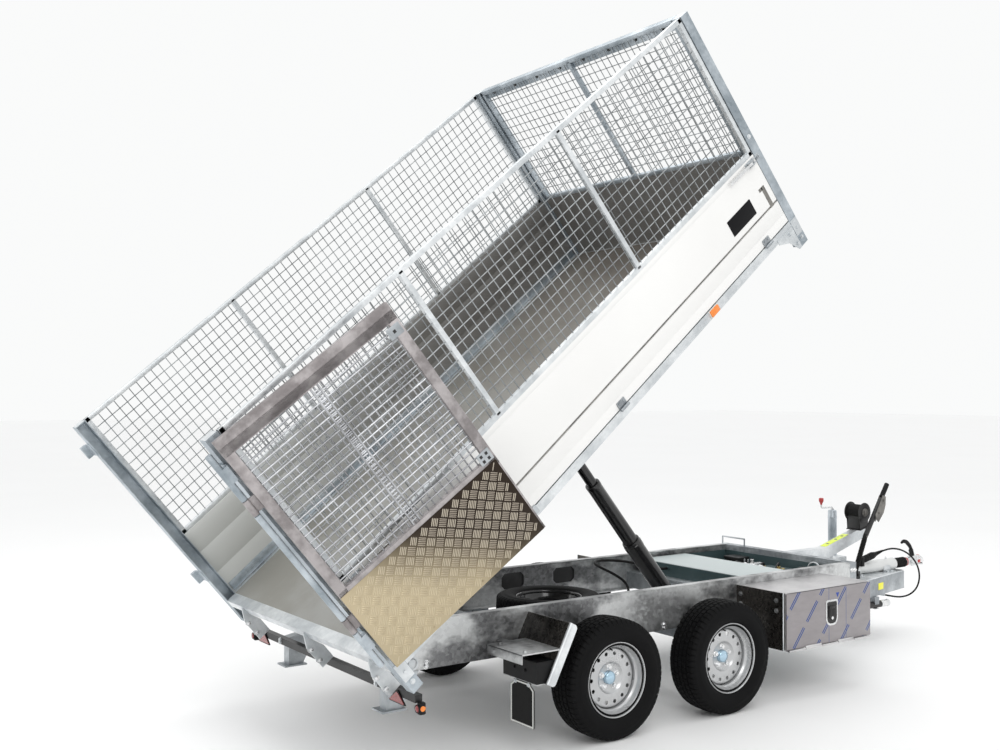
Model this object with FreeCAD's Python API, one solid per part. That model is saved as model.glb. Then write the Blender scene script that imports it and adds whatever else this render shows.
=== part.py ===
import FreeCAD, Part
import math
import os

from FreeCAD import Vector

os.makedirs("parts", exist_ok=True)

# Twin-axle dump trailer. Millimetres. Drawn with X forward from midway between the axles,
# Y to the left and Z up from the ground, then moved so that the coupling ball is the origin.

# Wheels and axles
TYRE_R = 294.5
TYRE_W = 185.0
RIM_LIP_R = 182.5
RIM_SEAT_R = 165.0
RIM_W = 150.0
BEAD_HALF = 70.0
SEAT_GAP = 0.3
RIM_OFFSET = 30.0
AXLE_GAP = 780.0
WHEEL_Y = 770.0
STUB_R = 20.0
RUN_GAP = 0.05
ARM_REACH = 120.0
AXLE_TUBE = 70.0
AXLE_TUBE_Z = 338.0
SADDLE = 90.0
AXLE_TUBE_END_Y = 600.0
ARM_T = 40.0
HUB_R = 62.0
DRUM_R = 115.0
DRUM_W = 52.0

# Chassis
RAIL_TOP_Z = 637.0
RAIL_H = 224.0
RAIL_OUT_Y = 544.0
RAIL_FLANGE = 45.0
RAIL_T = 5.0
RAIL_REAR_X = -1430.0
RAIL_FRONT_X = 1750.0
BEAM_D = 60.0
BEAM_SLOT_L = 60.0
BEAM_SLOT_W = 12.0
BEAM_SLOT_PITCH = 120.0
HOOP_R = 5.0
HOOP_RISE = 50.0
HOOP_Y0 = 330.0
HOOP_Y1 = 530.0
SHAFT_END = 12.0
FOOT_BASE_Z = 250.0
FOOT_SOLE_T = 8.0
FOOT_W = 60.0
CUTOUT_W = 165.0
CUTOUT_H = 95.0
CUTOUT_CORNER = 22.0
CUTOUT_Z = 548.0
CUTOUT_X = (-102.5, 287.5)
CROSSMEMBERS = [
    # x, height of the lower edge over the rail's, length, height
    (-1250.0, 20.0, 60.0, 80.0),
    (-560.0, 8.0, 50.0, 30.0),
    (190.0, 8.0, 50.0, 30.0),
    (890.0, 8.0, 80.0, 100.0),
]

# Spare wheel, lying between the rails
SPARE_X = -160.0
SPARE_Z = 384.0
SPARE_BAR_PITCH = 150.0
SPARE_BAR_W = 50.0
SPARE_BAR_T = 8.0

# Front tray, its cover and the pump in it
TRAY_X0 = 970.0
TRAY_Z = 440.0
TRAY_TOP = 600.0
TRAY_INSET = 42.0
TRAY_T = 3.0
COVER_X1 = 1370.0
COVER_T = 4.0
MOTOR_X = 1560.0
MOTOR_Z = 520.0
MOTOR_R = 52.0
MOTOR_Y = (60.0, 230.0)
TANK_X = (1480.0, 1680.0)
TANK_Y = (-330.0, 40.0)
TANK_TOP = 560.0
HOSE_FITTING_R = 12.0

# Tipping bed
TILT = 40.0
PIVOT_X = -1370.0
PIVOT_Z = 450.0
PIVOT_SHAFT_R = 25.0
BED_PIVOT_U = 177.0
BED_PIVOT_V = -285.0
BED_L = 3250.0
BED_W = 1860.0
BED_H = 1243.0
SIDE_H = 431.0
SIDE_T = 25.0
GROOVE_V = 140.0
GROOVE = 5.0
EDGE_H = 45.0
EDGE_W = 60.0
POST = 60.0
POST_DROP = 165.0
POST_T = 4.0
TOP_RAIL_H = 62.0
TOP_RAIL_HOLE_R = 9.0
TOP_RAIL_HOLES = 8
FLOOR_T = 12.0
CROSSBAR_H = 40.0
CROSSBAR_W = 40.0
RUNNER_H = 38.0
RUNNER_W = 60.0
RUNNER_Y = 430.0
EAR_T = 14.0
EAR_R = 48.0
SIDE_GAP = 6.0
SIDE_HINGE_OUT = 10.0
SIDE_HINGE_R = 8.0

# Mesh panels
MESH_BAR = 25.0
MESH_PITCH = 50.0
WIRE = 4.0
WIRE_GAP = 0.5

# Rear door leaf, hung on the right rear post
DOOR_OPEN = 260.0
DOOR_T = 30.0
DOOR_W = 900.0
DOOR_BOTTOM = 15.0
DOOR_TOP = 1233.0
DOOR_PLATE_H = 375.0
DOOR_TOP_BAR = 75.0
DOOR_STILE = 45.0
DOOR_PITCH = 40.0
HINGE_U = -35.0
HINGE_OUT = 32.0
HINGE_FACE = 9.0
HINGE_ROOM = 40.0
HINGE_TUBE_R = 14.0
HINGE_PIN_R = 8.0
HINGE_TUBES = [(60.0, 250.0), (330.0, 900.0), (980.0, 1203.0)]
HINGE_KNUCKLES = (254.0, 904.0)
HINGE_KNUCKLE_H = 72.0
HINGE_BRACKETS = (150.0, 1060.0)
HINGE_BRACKET_H = 70.0
LUG_T = 10.0
LUG_PLACES = (650.0, -100.0, -740.0)

# Telescopic cylinder
CYL_X = 830.0
CYL_Z = 352.0
CYL_R = 57.0
STAGE1_R = 46.0
STAGE2_R = 32.5
CYL_CLOSED = 643.0
BARREL_TOP = 604.0
STAGE3_R = 22.0
STAGE1_STROKE = 450.0
STAGE2_STROKE = 430.0
STAGE_STEP = 3.0
EYE_U = 1800.0
EYE_V = -100.0
EYE_R = 30.0
CARRIER_Y = 68.0
CARRIER_T = 12.0
BAY_U0 = 1480.0
BAY_U1 = 2080.0

# Drawbar, overrun device and coupling
BALL_X = 3200.0
BALL_Z = 450.0
BALL_R = 25.0
ARM_BACK_X = 1450.0
ARM_FRONT_X = 2960.0
ARM_BACK_Y = 330.0
ARM_FRONT_Y = 60.0
ARM_H = 120.0
ARM_W = 50.0
OVERRUN_R = 42.0
OVERRUN_Z = 463.0
OVERRUN_BACK_X = 2400.0
OVERRUN_FRONT_X = 2920.0
PLATE_BACK_X = 2280.0
PLATE_T = 8.0
PLATE_BACK_Y = 208.0
ROD_X = (2150.0, 2640.0)
ROD_Y = -160.0
ROD_Z = 240.0
ROD_R = 22.0
ROD_HANGERS = (2270.0, 2500.0)
GLAND_L = 60.0
GLAND_R = 10.0
GAITER_R = 36.0
GAITER_L = 130.0
GAITER_PLEATS = 7
SHANK_R = 30.0
HEAD_BACK_X = 3115.0
HEAD_NOSE = 55.0
HEAD_HALF = 38.0
HEAD_RISE = 52.0
HEAD_SKIRT = 15.0
LEVER_Y = -110.0
LEVER_R = 12.0
GRIP_R = 17.0
LEVER_FOOT = (2350.0, 445.0)
LEVER_KNEE = (2470.0, 700.0)
LEVER_END = (2650.0, 960.0)
GRIP_END = (2710.0, 1046.7)

# Winch and its arm
WINCH_ARM_W = 60.0
WINCH_ARM_H = 80.0
WINCH_KNEE_X = 2140.0
WINCH_END_X = 2630.0
WINCH_END_Z = 770.0
WINCH_X = 2530.0
WINCH_Z = 854.0
WINCH_R = 66.0
WINCH_CORE_R = 45.0
WINCH_HALF = 60.0
WINCH_CHEEK_T = 5.0

# Jockey wheel
JACK_X = 2575.0
JACK_Y = 250.0
JACK_TUBE_R = 30.0
JACK_LEG_R = 24.0
JACK_TUBE_BOTTOM = 450.0
JACK_TUBE_TOP = 832.0
JACK_TRAIL = 30.0
JACK_WHEEL_R = 100.0
JACK_WHEEL_W = 50.0
JACK_LEG_TOP = 640.0
CRANK_REACH = 120.0
CRANK_R = 6.0
KNOB_R = 17.0
KNOB_H = 50.0

# Toolbox
BOX_X0 = 775.0
BOX_X1 = 1490.0
BOX_Y0 = RAIL_OUT_Y
BOX_Y1 = 880.0
BOX_Z0 = 290.0
BOX_Z1 = 597.0
BOX_T = 3.0
LID_GAP = 5.0
LID_PIN_R = 2.5
LID_TUBE_R = 5.0
LATCH_X = 1149.0
LATCH_W = 100.0
LATCH_Z = (384.0, 527.0)
LATCH_T = 8.0

# Trailer cable to its parked plug, and the hose of the cylinder
CABLE_D = 12.0
HOSE_D = 16.0
PLUG_R = 24.0
PLUG_TIP = (2545.0, -36.0, 526.0)
CABLE_ROUTE = [
    (2702.0, -88.0, 276.0),
    (2790.0, -89.0, 256.0),
    (2888.0, -91.0, 240.0),
    (2990.0, -93.0, 247.0),
    (3070.0, -95.0, 288.0),
    (3101.0, -96.0, 362.0),
    (3078.0, -95.0, 446.0),
    (3008.0, -92.0, 520.0),
    (2912.0, -87.0, 569.0),
    (2806.0, -80.0, 590.0),
    (2706.0, -72.0, 578.0),
]
HOSE_ROUTE = [
    (830.0, 102.0, 352.0),
    (830.0, 212.0, 352.0),
    (748.0, 284.0, 392.0),
    (656.0, 256.0, 436.0),
    (590.0, 186.0, 494.0),
    (516.0, 138.0, 552.0),
    (432.0, 148.0, 604.0),
    (390.0, 216.0, 634.0),
    (412.0, 300.0, 648.0),
    (488.0, 346.0, 650.0),
    (584.0, 342.0, 644.0),
    (686.0, 316.0, 632.0),
    (782.0, 276.0, 606.0),
    (868.0, 240.0, 574.0),
    (960.0, 240.0, 574.0),
]

# Rear lamps, mudguards and what they carry
FOOT_REAR_X = -1500.0
BAR_INSET = 70.0
BAR_T = 35.0
BAR_Z = 366.0
BAR_H = 34.0
GUARD_OUT_Y = 880.0
GUARD_T = 3.0
GUARD_TOP = (-700.0, 612.0)
GUARD_FOOT = (-840.0, 345.0)
GUARD_ROLL_R = 9.0
SHELF_Z = 494.0
SHELF_T = 6.0
SHELF_X0 = -985.0
SHELF_LIP_Z = 455.0
CHOCK_Y0 = 600.0
CHOCK_Y1 = 866.0
CHOCK_TOP = 450.0
STRAP_X = -893.0
STRAP_T = 4.0
FLAP_T = 5.0
FLAP_Y0 = 668.0
FLAP_Y1 = 850.0
FLAP_BOTTOM = 142.0
FLAP_SHOULDER_Z = 318.0
FLAP_NECK_Z = 336.0
FLAP_NECK = 25.0
LAMP_W = 36.0
REFLECTOR_W = 150.0
REFLECTOR_INSET = 145.0
LAMP_T = 8.0

BED_X = PIVOT_X - BED_PIVOT_U
BED_Z = PIVOT_Z - BED_PIVOT_V
RAIL_Z = RAIL_TOP_Z - RAIL_H
HALF_W = BED_W / 2
EYE_HALF = CARRIER_Y - SEAT_GAP
ORIGIN = Vector(BALL_X, 0, BALL_Z)


def block(x0, x1, y0, y1, z0, z1):
    low = Vector(min(x0, x1), min(y0, y1), min(z0, z1))
    return Part.makeBox(abs(x1 - x0), abs(y1 - y0), abs(z1 - z0), low)


def rod(a, b, r):
    a, b = Vector(*a), Vector(*b)
    return Part.makeCylinder(r, (b - a).Length, a, b - a)


def ring(a, b, r, bore):
    return rod(a, b, r).cut(rod(a, b, bore))


def plate_y(points, y0, y1):
    """A plate whose outline is given by (x, z) points, from y0 to y1."""
    wire = Part.makePolygon([Vector(x, y0, z) for x, z in points + points[:1]])
    return Part.Face(wire).extrude(Vector(0, y1 - y0, 0))


def plate_x(points, x0, x1):
    """A plate whose outline is given by (y, z) points, from x0 to x1."""
    wire = Part.makePolygon([Vector(x0, y, z) for y, z in points + points[:1]])
    return Part.Face(wire).extrude(Vector(x1 - x0, 0, 0))


def plate_z(points, z0, z1):
    """A plate whose outline is given by (x, y) points, from z0 to z1."""
    wire = Part.makePolygon([Vector(x, y, z0) for x, y in points + points[:1]])
    return Part.Face(wire).extrude(Vector(0, 0, z1 - z0))


def revolve_y(points, y):
    """Turns a closed (radius, offset along Y) outline about the Y axis at y."""
    wire = Part.makePolygon([Vector(r, y + s, 0) for r, s in points + points[:1]])
    return Part.Face(wire).revolve(Vector(0, y, 0), Vector(0, 1, 0), 360)


def revolve_x(points):
    """Turns a closed (x, radius) outline about the X axis."""
    wire = Part.makePolygon([Vector(x, 0, r) for x, r in points + points[:1]])
    return Part.Face(wire).revolve(Vector(0, 0, 0), Vector(1, 0, 0), 360)


def moved(shape, x=0, y=0, z=0):
    copy = shape.copy()
    copy.translate(Vector(x, y, z))
    return copy


def fused(*shapes):
    return shapes[0].multiFuse(list(shapes[1:])).removeSplitter()


def mirrored(shape):
    return shape.mirror(Vector(0, 0, 0), Vector(0, 1, 0))


def in_bed(shape):
    """Places a piece drawn in the bed's own (u, y, v) at the raised bed."""
    copy = moved(shape, BED_X, 0, BED_Z)
    copy.rotate(Vector(PIVOT_X, 0, PIVOT_Z), Vector(0, -1, 0), TILT)
    return copy


def bed_point(u, v):
    """The (x, z) place of a point of the raised bed."""
    a = math.radians(TILT)
    x, z = u - BED_PIVOT_U, v - BED_PIVOT_V
    return PIVOT_X + x * math.cos(a) - z * math.sin(a), PIVOT_Z + x * math.sin(a) + z * math.cos(a)


def save(name, *solids):
    shape = solids[0] if len(solids) == 1 else Part.makeCompound(list(solids))
    shape = moved(shape, -ORIGIN.x, 0, -ORIGIN.z)
    shape.exportStep("parts/" + name + ".step")


# Wheels: a tyre and a rim with its brake drum, drawn about the origin with +Y outward
def tyre():
    half = TYRE_W / 2
    tread = 0.80 * half
    points = [
        (RIM_SEAT_R, -BEAD_HALF),
        (RIM_LIP_R, -BEAD_HALF),
        (RIM_LIP_R + 8, -BEAD_HALF - 12),
        (0.5 * (RIM_LIP_R + TYRE_R), -half),
        (TYRE_R - 22, -half + 4),
        (TYRE_R - 6, -tread - 4),
        (TYRE_R, -tread + 8),
        (TYRE_R, tread - 8),
        (TYRE_R - 6, tread + 4),
        (TYRE_R - 22, half - 4),
        (0.5 * (RIM_LIP_R + TYRE_R), half),
        (RIM_LIP_R + 8, BEAD_HALF + 12),
        (RIM_LIP_R, BEAD_HALF),
        (RIM_SEAT_R, BEAD_HALF),
    ]
    return revolve_y(points, 0)


def rim():
    half = RIM_W / 2
    seat = RIM_SEAT_R - SEAT_GAP
    bead = BEAD_HALF + SEAT_GAP
    lip = revolve_y(
        [
            (seat, -bead),
            (seat, bead),
            (RIM_LIP_R, bead),
            (RIM_LIP_R, half + 3),
            (seat - 5, half + 3),
            (seat - 5, -half - 3),
            (RIM_LIP_R, -half - 3),
            (RIM_LIP_R, -bead),
        ],
        0,
    )
    disc = revolve_y(
        [
            (STUB_R + RUN_GAP, -22),
            (HUB_R, -22),
            (HUB_R + 20, RIM_OFFSET - 14),
            (seat - 25, RIM_OFFSET - 14),
            (seat - 5.5, RIM_OFFSET - 34),
            (seat - 4.5, RIM_OFFSET - 34),
            (seat - 4.5, RIM_OFFSET - 22),
            (seat - 25, RIM_OFFSET - 6),
            (HUB_R + 14, RIM_OFFSET - 6),
            (HUB_R, RIM_OFFSET - 22),
            (42, RIM_OFFSET - 22),
            (32, RIM_OFFSET + 14),
            (STUB_R + RUN_GAP, RIM_OFFSET + 14),
        ],
        0,
    )
    holes = []
    for k in range(14):
        a = 2 * math.pi * k / 14
        x, z = 120 * math.cos(a), 120 * math.sin(a)
        holes.append(rod((x, -40, z), (x, 60, z), 8))
    return fused(lip, disc.cut(Part.makeCompound(holes)))


def drum():
    y1 = -24
    y0 = y1 - DRUM_W
    return revolve_y([(STUB_R + RUN_GAP, y0), (DRUM_R, y0), (DRUM_R, y1), (STUB_R + RUN_GAP, y1)], 0)


TYRE = tyre()
RIM = rim()
DRUM = fused(drum(), revolve_y([(STUB_R + RUN_GAP, -24), (HUB_R - 8, -24), (HUB_R - 8, -21), (STUB_R + RUN_GAP, -21)], 0))
RIM = fused(RIM, DRUM)
for corner, x in (("front", AXLE_GAP / 2), ("rear", -AXLE_GAP / 2)):
    for side, turn in (("left", False), ("right", True)):
        for piece, shape in (("tyre", TYRE), ("rim", RIM)):
            at = mirrored(moved(shape, x, WHEEL_Y, TYRE_R)) if turn else moved(shape, x, WHEEL_Y, TYRE_R)
            save(f"{piece}_{corner}_{side}", at)

# Axles: a square tube under the rails, trailing arms and stub axles
axles = []
STUB_END = WHEEL_Y + RIM_OFFSET
for x in (AXLE_GAP / 2, -AXLE_GAP / 2):
    tube_x = x + ARM_REACH
    tube_z = AXLE_TUBE_Z
    half = AXLE_TUBE / 2
    pieces = [block(tube_x - half, tube_x + half, -AXLE_TUBE_END_Y, AXLE_TUBE_END_Y, tube_z - half, tube_z + half)]
    for s in (1, -1):
        y0, y1 = s * AXLE_TUBE_END_Y, s * (AXLE_TUBE_END_Y + ARM_T)
        arm = plate_y([(tube_x + 38, tube_z + 32), (tube_x + 38, tube_z - 32), (x, TYRE_R - 32),
                       (x - 32, TYRE_R - 12), (x - 32, TYRE_R + 14), (x, TYRE_R + 34)], y0, y1)
        saddle = block(tube_x - SADDLE / 2, tube_x + SADDLE / 2, s * (RAIL_OUT_Y - RAIL_FLANGE), s * RAIL_OUT_Y,
                       tube_z + half - 1, RAIL_Z)
        pieces += [arm, saddle, rod((x, y1, TYRE_R), (x, s * STUB_END, TYRE_R), STUB_R)]
    axles.append(fused(*pieces))
save("axles", *axles)

# Chassis rails: two channels with their backs outward
def channel(x0, x1, out_y, z0, z1, flange, t):
    body = block(x0, x1, out_y - flange, out_y, z0, z1)
    return body.cut(block(x0 - 1, x1 + 1, out_y - flange - 1, out_y - t, z0 + t, z1 - t))


rail = channel(RAIL_REAR_X, RAIL_FRONT_X, RAIL_OUT_Y, RAIL_Z, RAIL_TOP_Z, RAIL_FLANGE, RAIL_T)
rail = rail.cut(rod((PIVOT_X, 0, PIVOT_Z), (PIVOT_X, 2 * RAIL_OUT_Y, PIVOT_Z), PIVOT_SHAFT_R))
cutouts = []
for x0 in CUTOUT_X:
    x1, z0, z1 = x0 + CUTOUT_W, CUTOUT_Z - 0.5 * CUTOUT_H, CUTOUT_Z + 0.5 * CUTOUT_H
    c = CUTOUT_CORNER
    outline = [(x0 + c, z0), (x1 - c, z0), (x1, z0 + c), (x1, z1 - c), (x1 - c, z1), (x0 + c, z1), (x0, z1 - c), (x0, z0 + c)]
    cutouts.append(plate_y(outline, RAIL_OUT_Y - RAIL_T - 1, RAIL_OUT_Y + 1))
save("chassis_rails", rail.cut(Part.makeCompound(cutouts)), mirrored(rail))

WEB_Y = RAIL_OUT_Y - RAIL_T
crossmembers = [block(x, x + w, -WEB_Y, WEB_Y, RAIL_Z + z, RAIL_Z + z + h) for x, z, w, h in CROSSMEMBERS]
LIP_Y = RAIL_OUT_Y - RAIL_FLANGE
for x in (SPARE_X - SPARE_BAR_PITCH, SPARE_X + SPARE_BAR_PITCH):
    x0, x1 = x - SPARE_BAR_W / 2, x + SPARE_BAR_W / 2
    bar = block(x0, x1, -LIP_Y, LIP_Y, SPARE_Z - SPARE_BAR_T, SPARE_Z)
    ends = [block(x0, x1, s * (LIP_Y - SPARE_BAR_T), s * LIP_Y, SPARE_Z - SPARE_BAR_T, RAIL_Z + RAIL_T) for s in (1, -1)]
    crossmembers.append(fused(bar, *ends))
save("crossmembers", *crossmembers)

# Front beam with slots along its top and a bent rod loop at its left end
beam = block(RAIL_FRONT_X, RAIL_FRONT_X + BEAM_D, -RAIL_OUT_Y, RAIL_OUT_Y, RAIL_Z, RAIL_TOP_Z)
beam = beam.cut(block(RAIL_FRONT_X + RAIL_T, RAIL_FRONT_X + BEAM_D + 1, -RAIL_OUT_Y + RAIL_T, RAIL_OUT_Y - RAIL_T,
                      RAIL_Z + RAIL_T, RAIL_TOP_Z - RAIL_T))
slots = []
beam_x = RAIL_FRONT_X + BEAM_D / 2
for k in range(-4, 5):
    y = k * BEAM_SLOT_PITCH
    slots.append(block(beam_x - BEAM_SLOT_W / 2, beam_x + BEAM_SLOT_W / 2, y - BEAM_SLOT_L / 2, y + BEAM_SLOT_L / 2,
                       RAIL_TOP_Z - 2 * RAIL_T, RAIL_TOP_Z + 1))
beam = beam.cut(Part.makeCompound(slots))
hoop_x = RAIL_FRONT_X + 2 * HOOP_R
hoop = [(hoop_x, HOOP_Y0, RAIL_TOP_Z - 2), (hoop_x, HOOP_Y0, RAIL_TOP_Z + HOOP_RISE),
        (hoop_x, HOOP_Y1, RAIL_TOP_Z + HOOP_RISE), (hoop_x, HOOP_Y1, RAIL_TOP_Z - 2)]
loop = [rod(a, b, HOOP_R) for a, b in zip(hoop, hoop[1:])]
loop += [Part.makeSphere(HOOP_R, Vector(*corner)) for corner in hoop[1:3]]
save("front_beam", fused(beam, *loop))

# Tip shaft across the rails and the two feet under the rail ends
save("tip_shaft", rod((PIVOT_X, -RAIL_OUT_Y - SHAFT_END, PIVOT_Z), (PIVOT_X, RAIL_OUT_Y + SHAFT_END, PIVOT_Z), PIVOT_SHAFT_R))
feet = []
sole = FOOT_BASE_Z + FOOT_SOLE_T
for s in (1, -1):
    y0, y1 = s * (RAIL_OUT_Y - FOOT_W + 5), s * (RAIL_OUT_Y + 5)
    leg = plate_y([(RAIL_REAR_X + 5, RAIL_Z), (RAIL_REAR_X + 100, RAIL_Z), (RAIL_REAR_X + 10, sole),
                   (FOOT_REAR_X, sole), (FOOT_REAR_X, BAR_Z + BAR_H)], y0, y1)
    base = block(FOOT_REAR_X - 30, RAIL_REAR_X + 25, y0 - s * 20, y1 + s * 20, FOOT_BASE_Z, sole)
    feet.append(fused(leg, base))
save("support_feet", *feet)

# Rear light bar with its lamps
BAR_X = FOOT_REAR_X - BAR_T
BAR_Y = HALF_W - BAR_INSET
save("light_bar", block(BAR_X, FOOT_REAR_X, -BAR_Y, BAR_Y, BAR_Z, BAR_Z + BAR_H))
lamps = []
for s in (1, -1):
    mid = s * (BAR_Y - REFLECTOR_INSET)
    lamps.append(block(BAR_X - LAMP_T, BAR_X + 40, s * BAR_Y, s * (BAR_Y + LAMP_W), BAR_Z - 48, BAR_Z + 10))
    lamps.append(plate_x([(mid - REFLECTOR_W / 2, BAR_Z - 31), (mid + REFLECTOR_W / 2, BAR_Z - 31), (mid, BAR_Z + 30)],
                         BAR_X - LAMP_T, BAR_X))
save("rear_lamps", *lamps)

# Mudguard plates behind and ahead of the wheels, with a rolled outer edge
def guard(top, foot, roll_r):
    (x0, z0), (x1, z1) = top, foot
    plate = plate_y([(x0, z0), (x1, z1), (x1 - GUARD_T, z1), (x0 - GUARD_T, z0)], RAIL_OUT_Y, GUARD_OUT_Y)
    roll = rod((x0 - GUARD_T / 2, GUARD_OUT_Y, z0), (x1 - GUARD_T / 2, GUARD_OUT_Y, z1), roll_r)
    return fused(plate, roll)


def guard_x(z):
    """Where the back of the rear guard is at height z."""
    (x0, z0), (x1, z1) = GUARD_TOP, GUARD_FOOT
    return x1 + (x0 - x1) * (z - z1) / (z0 - z1) - GUARD_T


guard_lip = guard((BOX_X0 - 16, BOX_Z1 + 3), (BOX_X0 - 16, BOX_Z0), 3)
rear_guard = guard(GUARD_TOP, GUARD_FOOT, GUARD_ROLL_R)
shelf = plate_y([(SHELF_X0, SHELF_Z), (guard_x(SHELF_Z) + 1, SHELF_Z), (guard_x(SHELF_Z + SHELF_T) + 1, SHELF_Z + SHELF_T),
                 (SHELF_X0, SHELF_Z + SHELF_T)], CHOCK_Y0, GUARD_OUT_Y)
shelf_lip = block(SHELF_X0, SHELF_X0 + GUARD_T, CHOCK_Y0, GUARD_OUT_Y, SHELF_LIP_Z, SHELF_Z + 1)
tongue = block(STRAP_X, STRAP_X + 40, RAIL_OUT_Y, CHOCK_Y0 + 5, SHELF_Z, SHELF_Z + SHELF_T)
seat_z = GUARD_FOOT[1]
seat = block(STRAP_X, guard_x(seat_z) + 1, CHOCK_Y0, CHOCK_Y1, seat_z, seat_z + STRAP_T)
strap = block(STRAP_X, STRAP_X + STRAP_T, FLAP_Y0 + FLAP_NECK, FLAP_Y1 - FLAP_NECK, FLAP_NECK_Z - 6, seat_z + 1)
rear_guard = fused(rear_guard, shelf, shelf_lip, tongue, seat, strap)
save("mudguards", rear_guard, guard_lip, mirrored(rear_guard), mirrored(guard_lip))
chock_z = seat_z + STRAP_T
chock = plate_y([(STRAP_X, chock_z), (guard_x(chock_z) - 1, chock_z), (guard_x(CHOCK_TOP) - 1, CHOCK_TOP), (STRAP_X, CHOCK_TOP)],
                CHOCK_Y0, CHOCK_Y1)
save("wheel_chocks", chock, mirrored(chock))
flap = plate_x([(FLAP_Y0, FLAP_BOTTOM), (FLAP_Y1, FLAP_BOTTOM), (FLAP_Y1, FLAP_SHOULDER_Z), (FLAP_Y1 - FLAP_NECK, FLAP_NECK_Z),
                (FLAP_Y1 - FLAP_NECK, seat_z), (FLAP_Y0 + FLAP_NECK, seat_z), (FLAP_Y0 + FLAP_NECK, FLAP_NECK_Z),
                (FLAP_Y0, FLAP_SHOULDER_Z)], STRAP_X - FLAP_T, STRAP_X)
save("mud_flaps", flap, mirrored(flap))

# Toolbox on the right side: an open box and its drop-down lid
shell = block(BOX_X0, BOX_X1, -BOX_Y0, -BOX_Y1, BOX_Z0, BOX_Z1)
hollow = block(BOX_X0 + BOX_T, BOX_X1 - BOX_T, -BOX_Y0 - BOX_T, -BOX_Y1 - 1, BOX_Z0 + BOX_T, BOX_Z1 - BOX_T)
HINGE_Y = -BOX_Y1 - 12
LID_HINGE_Z = BOX_Z0 - 6
LID_END = 15.0
pitch = (BOX_X1 - BOX_X0 - 2 * LID_END) / 5


def knuckle_ends(k):
    x0 = BOX_X0 + LID_END + k * pitch
    return x0, x0 + pitch - 2 * LID_PIN_R


box_knuckles = [rod((BOX_X0 + LID_END, HINGE_Y, LID_HINGE_Z), (BOX_X1 - LID_END, HINGE_Y, LID_HINGE_Z), LID_PIN_R)]
for k in (0, 2, 4):
    x0, x1 = knuckle_ends(k)
    box_knuckles += [rod((x0, HINGE_Y, LID_HINGE_Z), (x1, HINGE_Y, LID_HINGE_Z), LID_TUBE_R),
                     block(x0, x1, HINGE_Y, HINGE_Y + 27, LID_HINGE_Z - LID_PIN_R, LID_HINGE_Z + LID_PIN_R),
                     block(x0, x1, HINGE_Y + 17, HINGE_Y + 27, LID_HINGE_Z + 2, BOX_Z0 + 1)]
save("toolbox", fused(shell.cut(hollow), *box_knuckles))
lid_y = -BOX_Y1 - LID_GAP
lid = block(BOX_X0 + 1, BOX_X1 - 1, lid_y, lid_y - BOX_T, BOX_Z0, BOX_Z1 - 4)
latch = block(LATCH_X - LATCH_W / 2, LATCH_X + LATCH_W / 2, lid_y - BOX_T, lid_y - BOX_T - LATCH_T, *LATCH_Z)
lid_knuckles = []
for k in (1, 3):
    x0, x1 = knuckle_ends(k)
    web = block(x0, x1, HINGE_Y - 1.5, lid_y - 1, LID_HINGE_Z, BOX_Z0 + 8)
    tube = rod((x0, HINGE_Y, LID_HINGE_Z), (x1, HINGE_Y, LID_HINGE_Z), LID_TUBE_R)
    bore = rod((x0 - 1, HINGE_Y, LID_HINGE_Z), (x1 + 1, HINGE_Y, LID_HINGE_Z), LID_PIN_R + RUN_GAP)
    lid_knuckles.append(fused(web, tube).cut(bore))
save("toolbox_lid", fused(lid, latch, *lid_knuckles))

# Spare wheel lying between the rails on two bars
def laid(shape):
    copy = shape.copy()
    copy.rotate(Vector(0, 0, 0), Vector(1, 0, 0), 90)
    return moved(copy, SPARE_X, 0, SPARE_Z + TYRE_W / 2)


save("spare_tyre", laid(TYRE))
save("spare_rim", laid(RIM.cut(block(-300, 300, -200, -23, -300, 300))))

# Front tray with its cover sheet and the pump
tray_y = WEB_Y - TRAY_INSET
tray = block(TRAY_X0, RAIL_FRONT_X, -tray_y, tray_y, TRAY_Z, TRAY_TOP)
tray = tray.cut(block(TRAY_X0 + TRAY_T, RAIL_FRONT_X - TRAY_T, -tray_y + TRAY_T, tray_y - TRAY_T, TRAY_Z + TRAY_T, TRAY_TOP + 1))
hose_x, hose_y, hose_z = HOSE_ROUTE[-1]
save("front_tray", fused(tray, rod(HOSE_ROUTE[-1], (TRAY_X0 + 1, hose_y, hose_z), HOSE_FITTING_R)))
save("tray_cover", block(TRAY_X0, COVER_X1, -tray_y, tray_y, TRAY_TOP, TRAY_TOP + COVER_T))
motor = rod((MOTOR_X, MOTOR_Y[0], MOTOR_Z), (MOTOR_X, MOTOR_Y[1], MOTOR_Z), MOTOR_R)
tank = block(*TANK_X, *TANK_Y, TRAY_Z + TRAY_T, TANK_TOP)
coupling_block = block(MOTOR_X - 60, MOTOR_X + 60, TANK_Y[1] - 10, MOTOR_Y[0] + 10, MOTOR_Z - 60, MOTOR_Z + 60)
save("pump_unit", fused(tank, motor, coupling_block))

# Drawbar arms with the gland of the trailer cable below the right one
def drawbar_arm():
    back, front = ARM_BACK_Y, ARM_FRONT_Y
    outline = [(ARM_BACK_X, back + ARM_W), (ARM_FRONT_X, front), (ARM_FRONT_X, front - ARM_W), (ARM_BACK_X, back)]
    outer = plate_z(outline, RAIL_Z - ARM_H, RAIL_Z)
    inside = [(ARM_BACK_X - 1, back + ARM_W - RAIL_T), (ARM_FRONT_X + 1, front - RAIL_T), (ARM_FRONT_X + 1, front - ARM_W - 9),
              (ARM_BACK_X - 1, back - 9)]
    return outer.cut(plate_z(inside, RAIL_Z - ARM_H + RAIL_T, RAIL_Z - RAIL_T))


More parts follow.
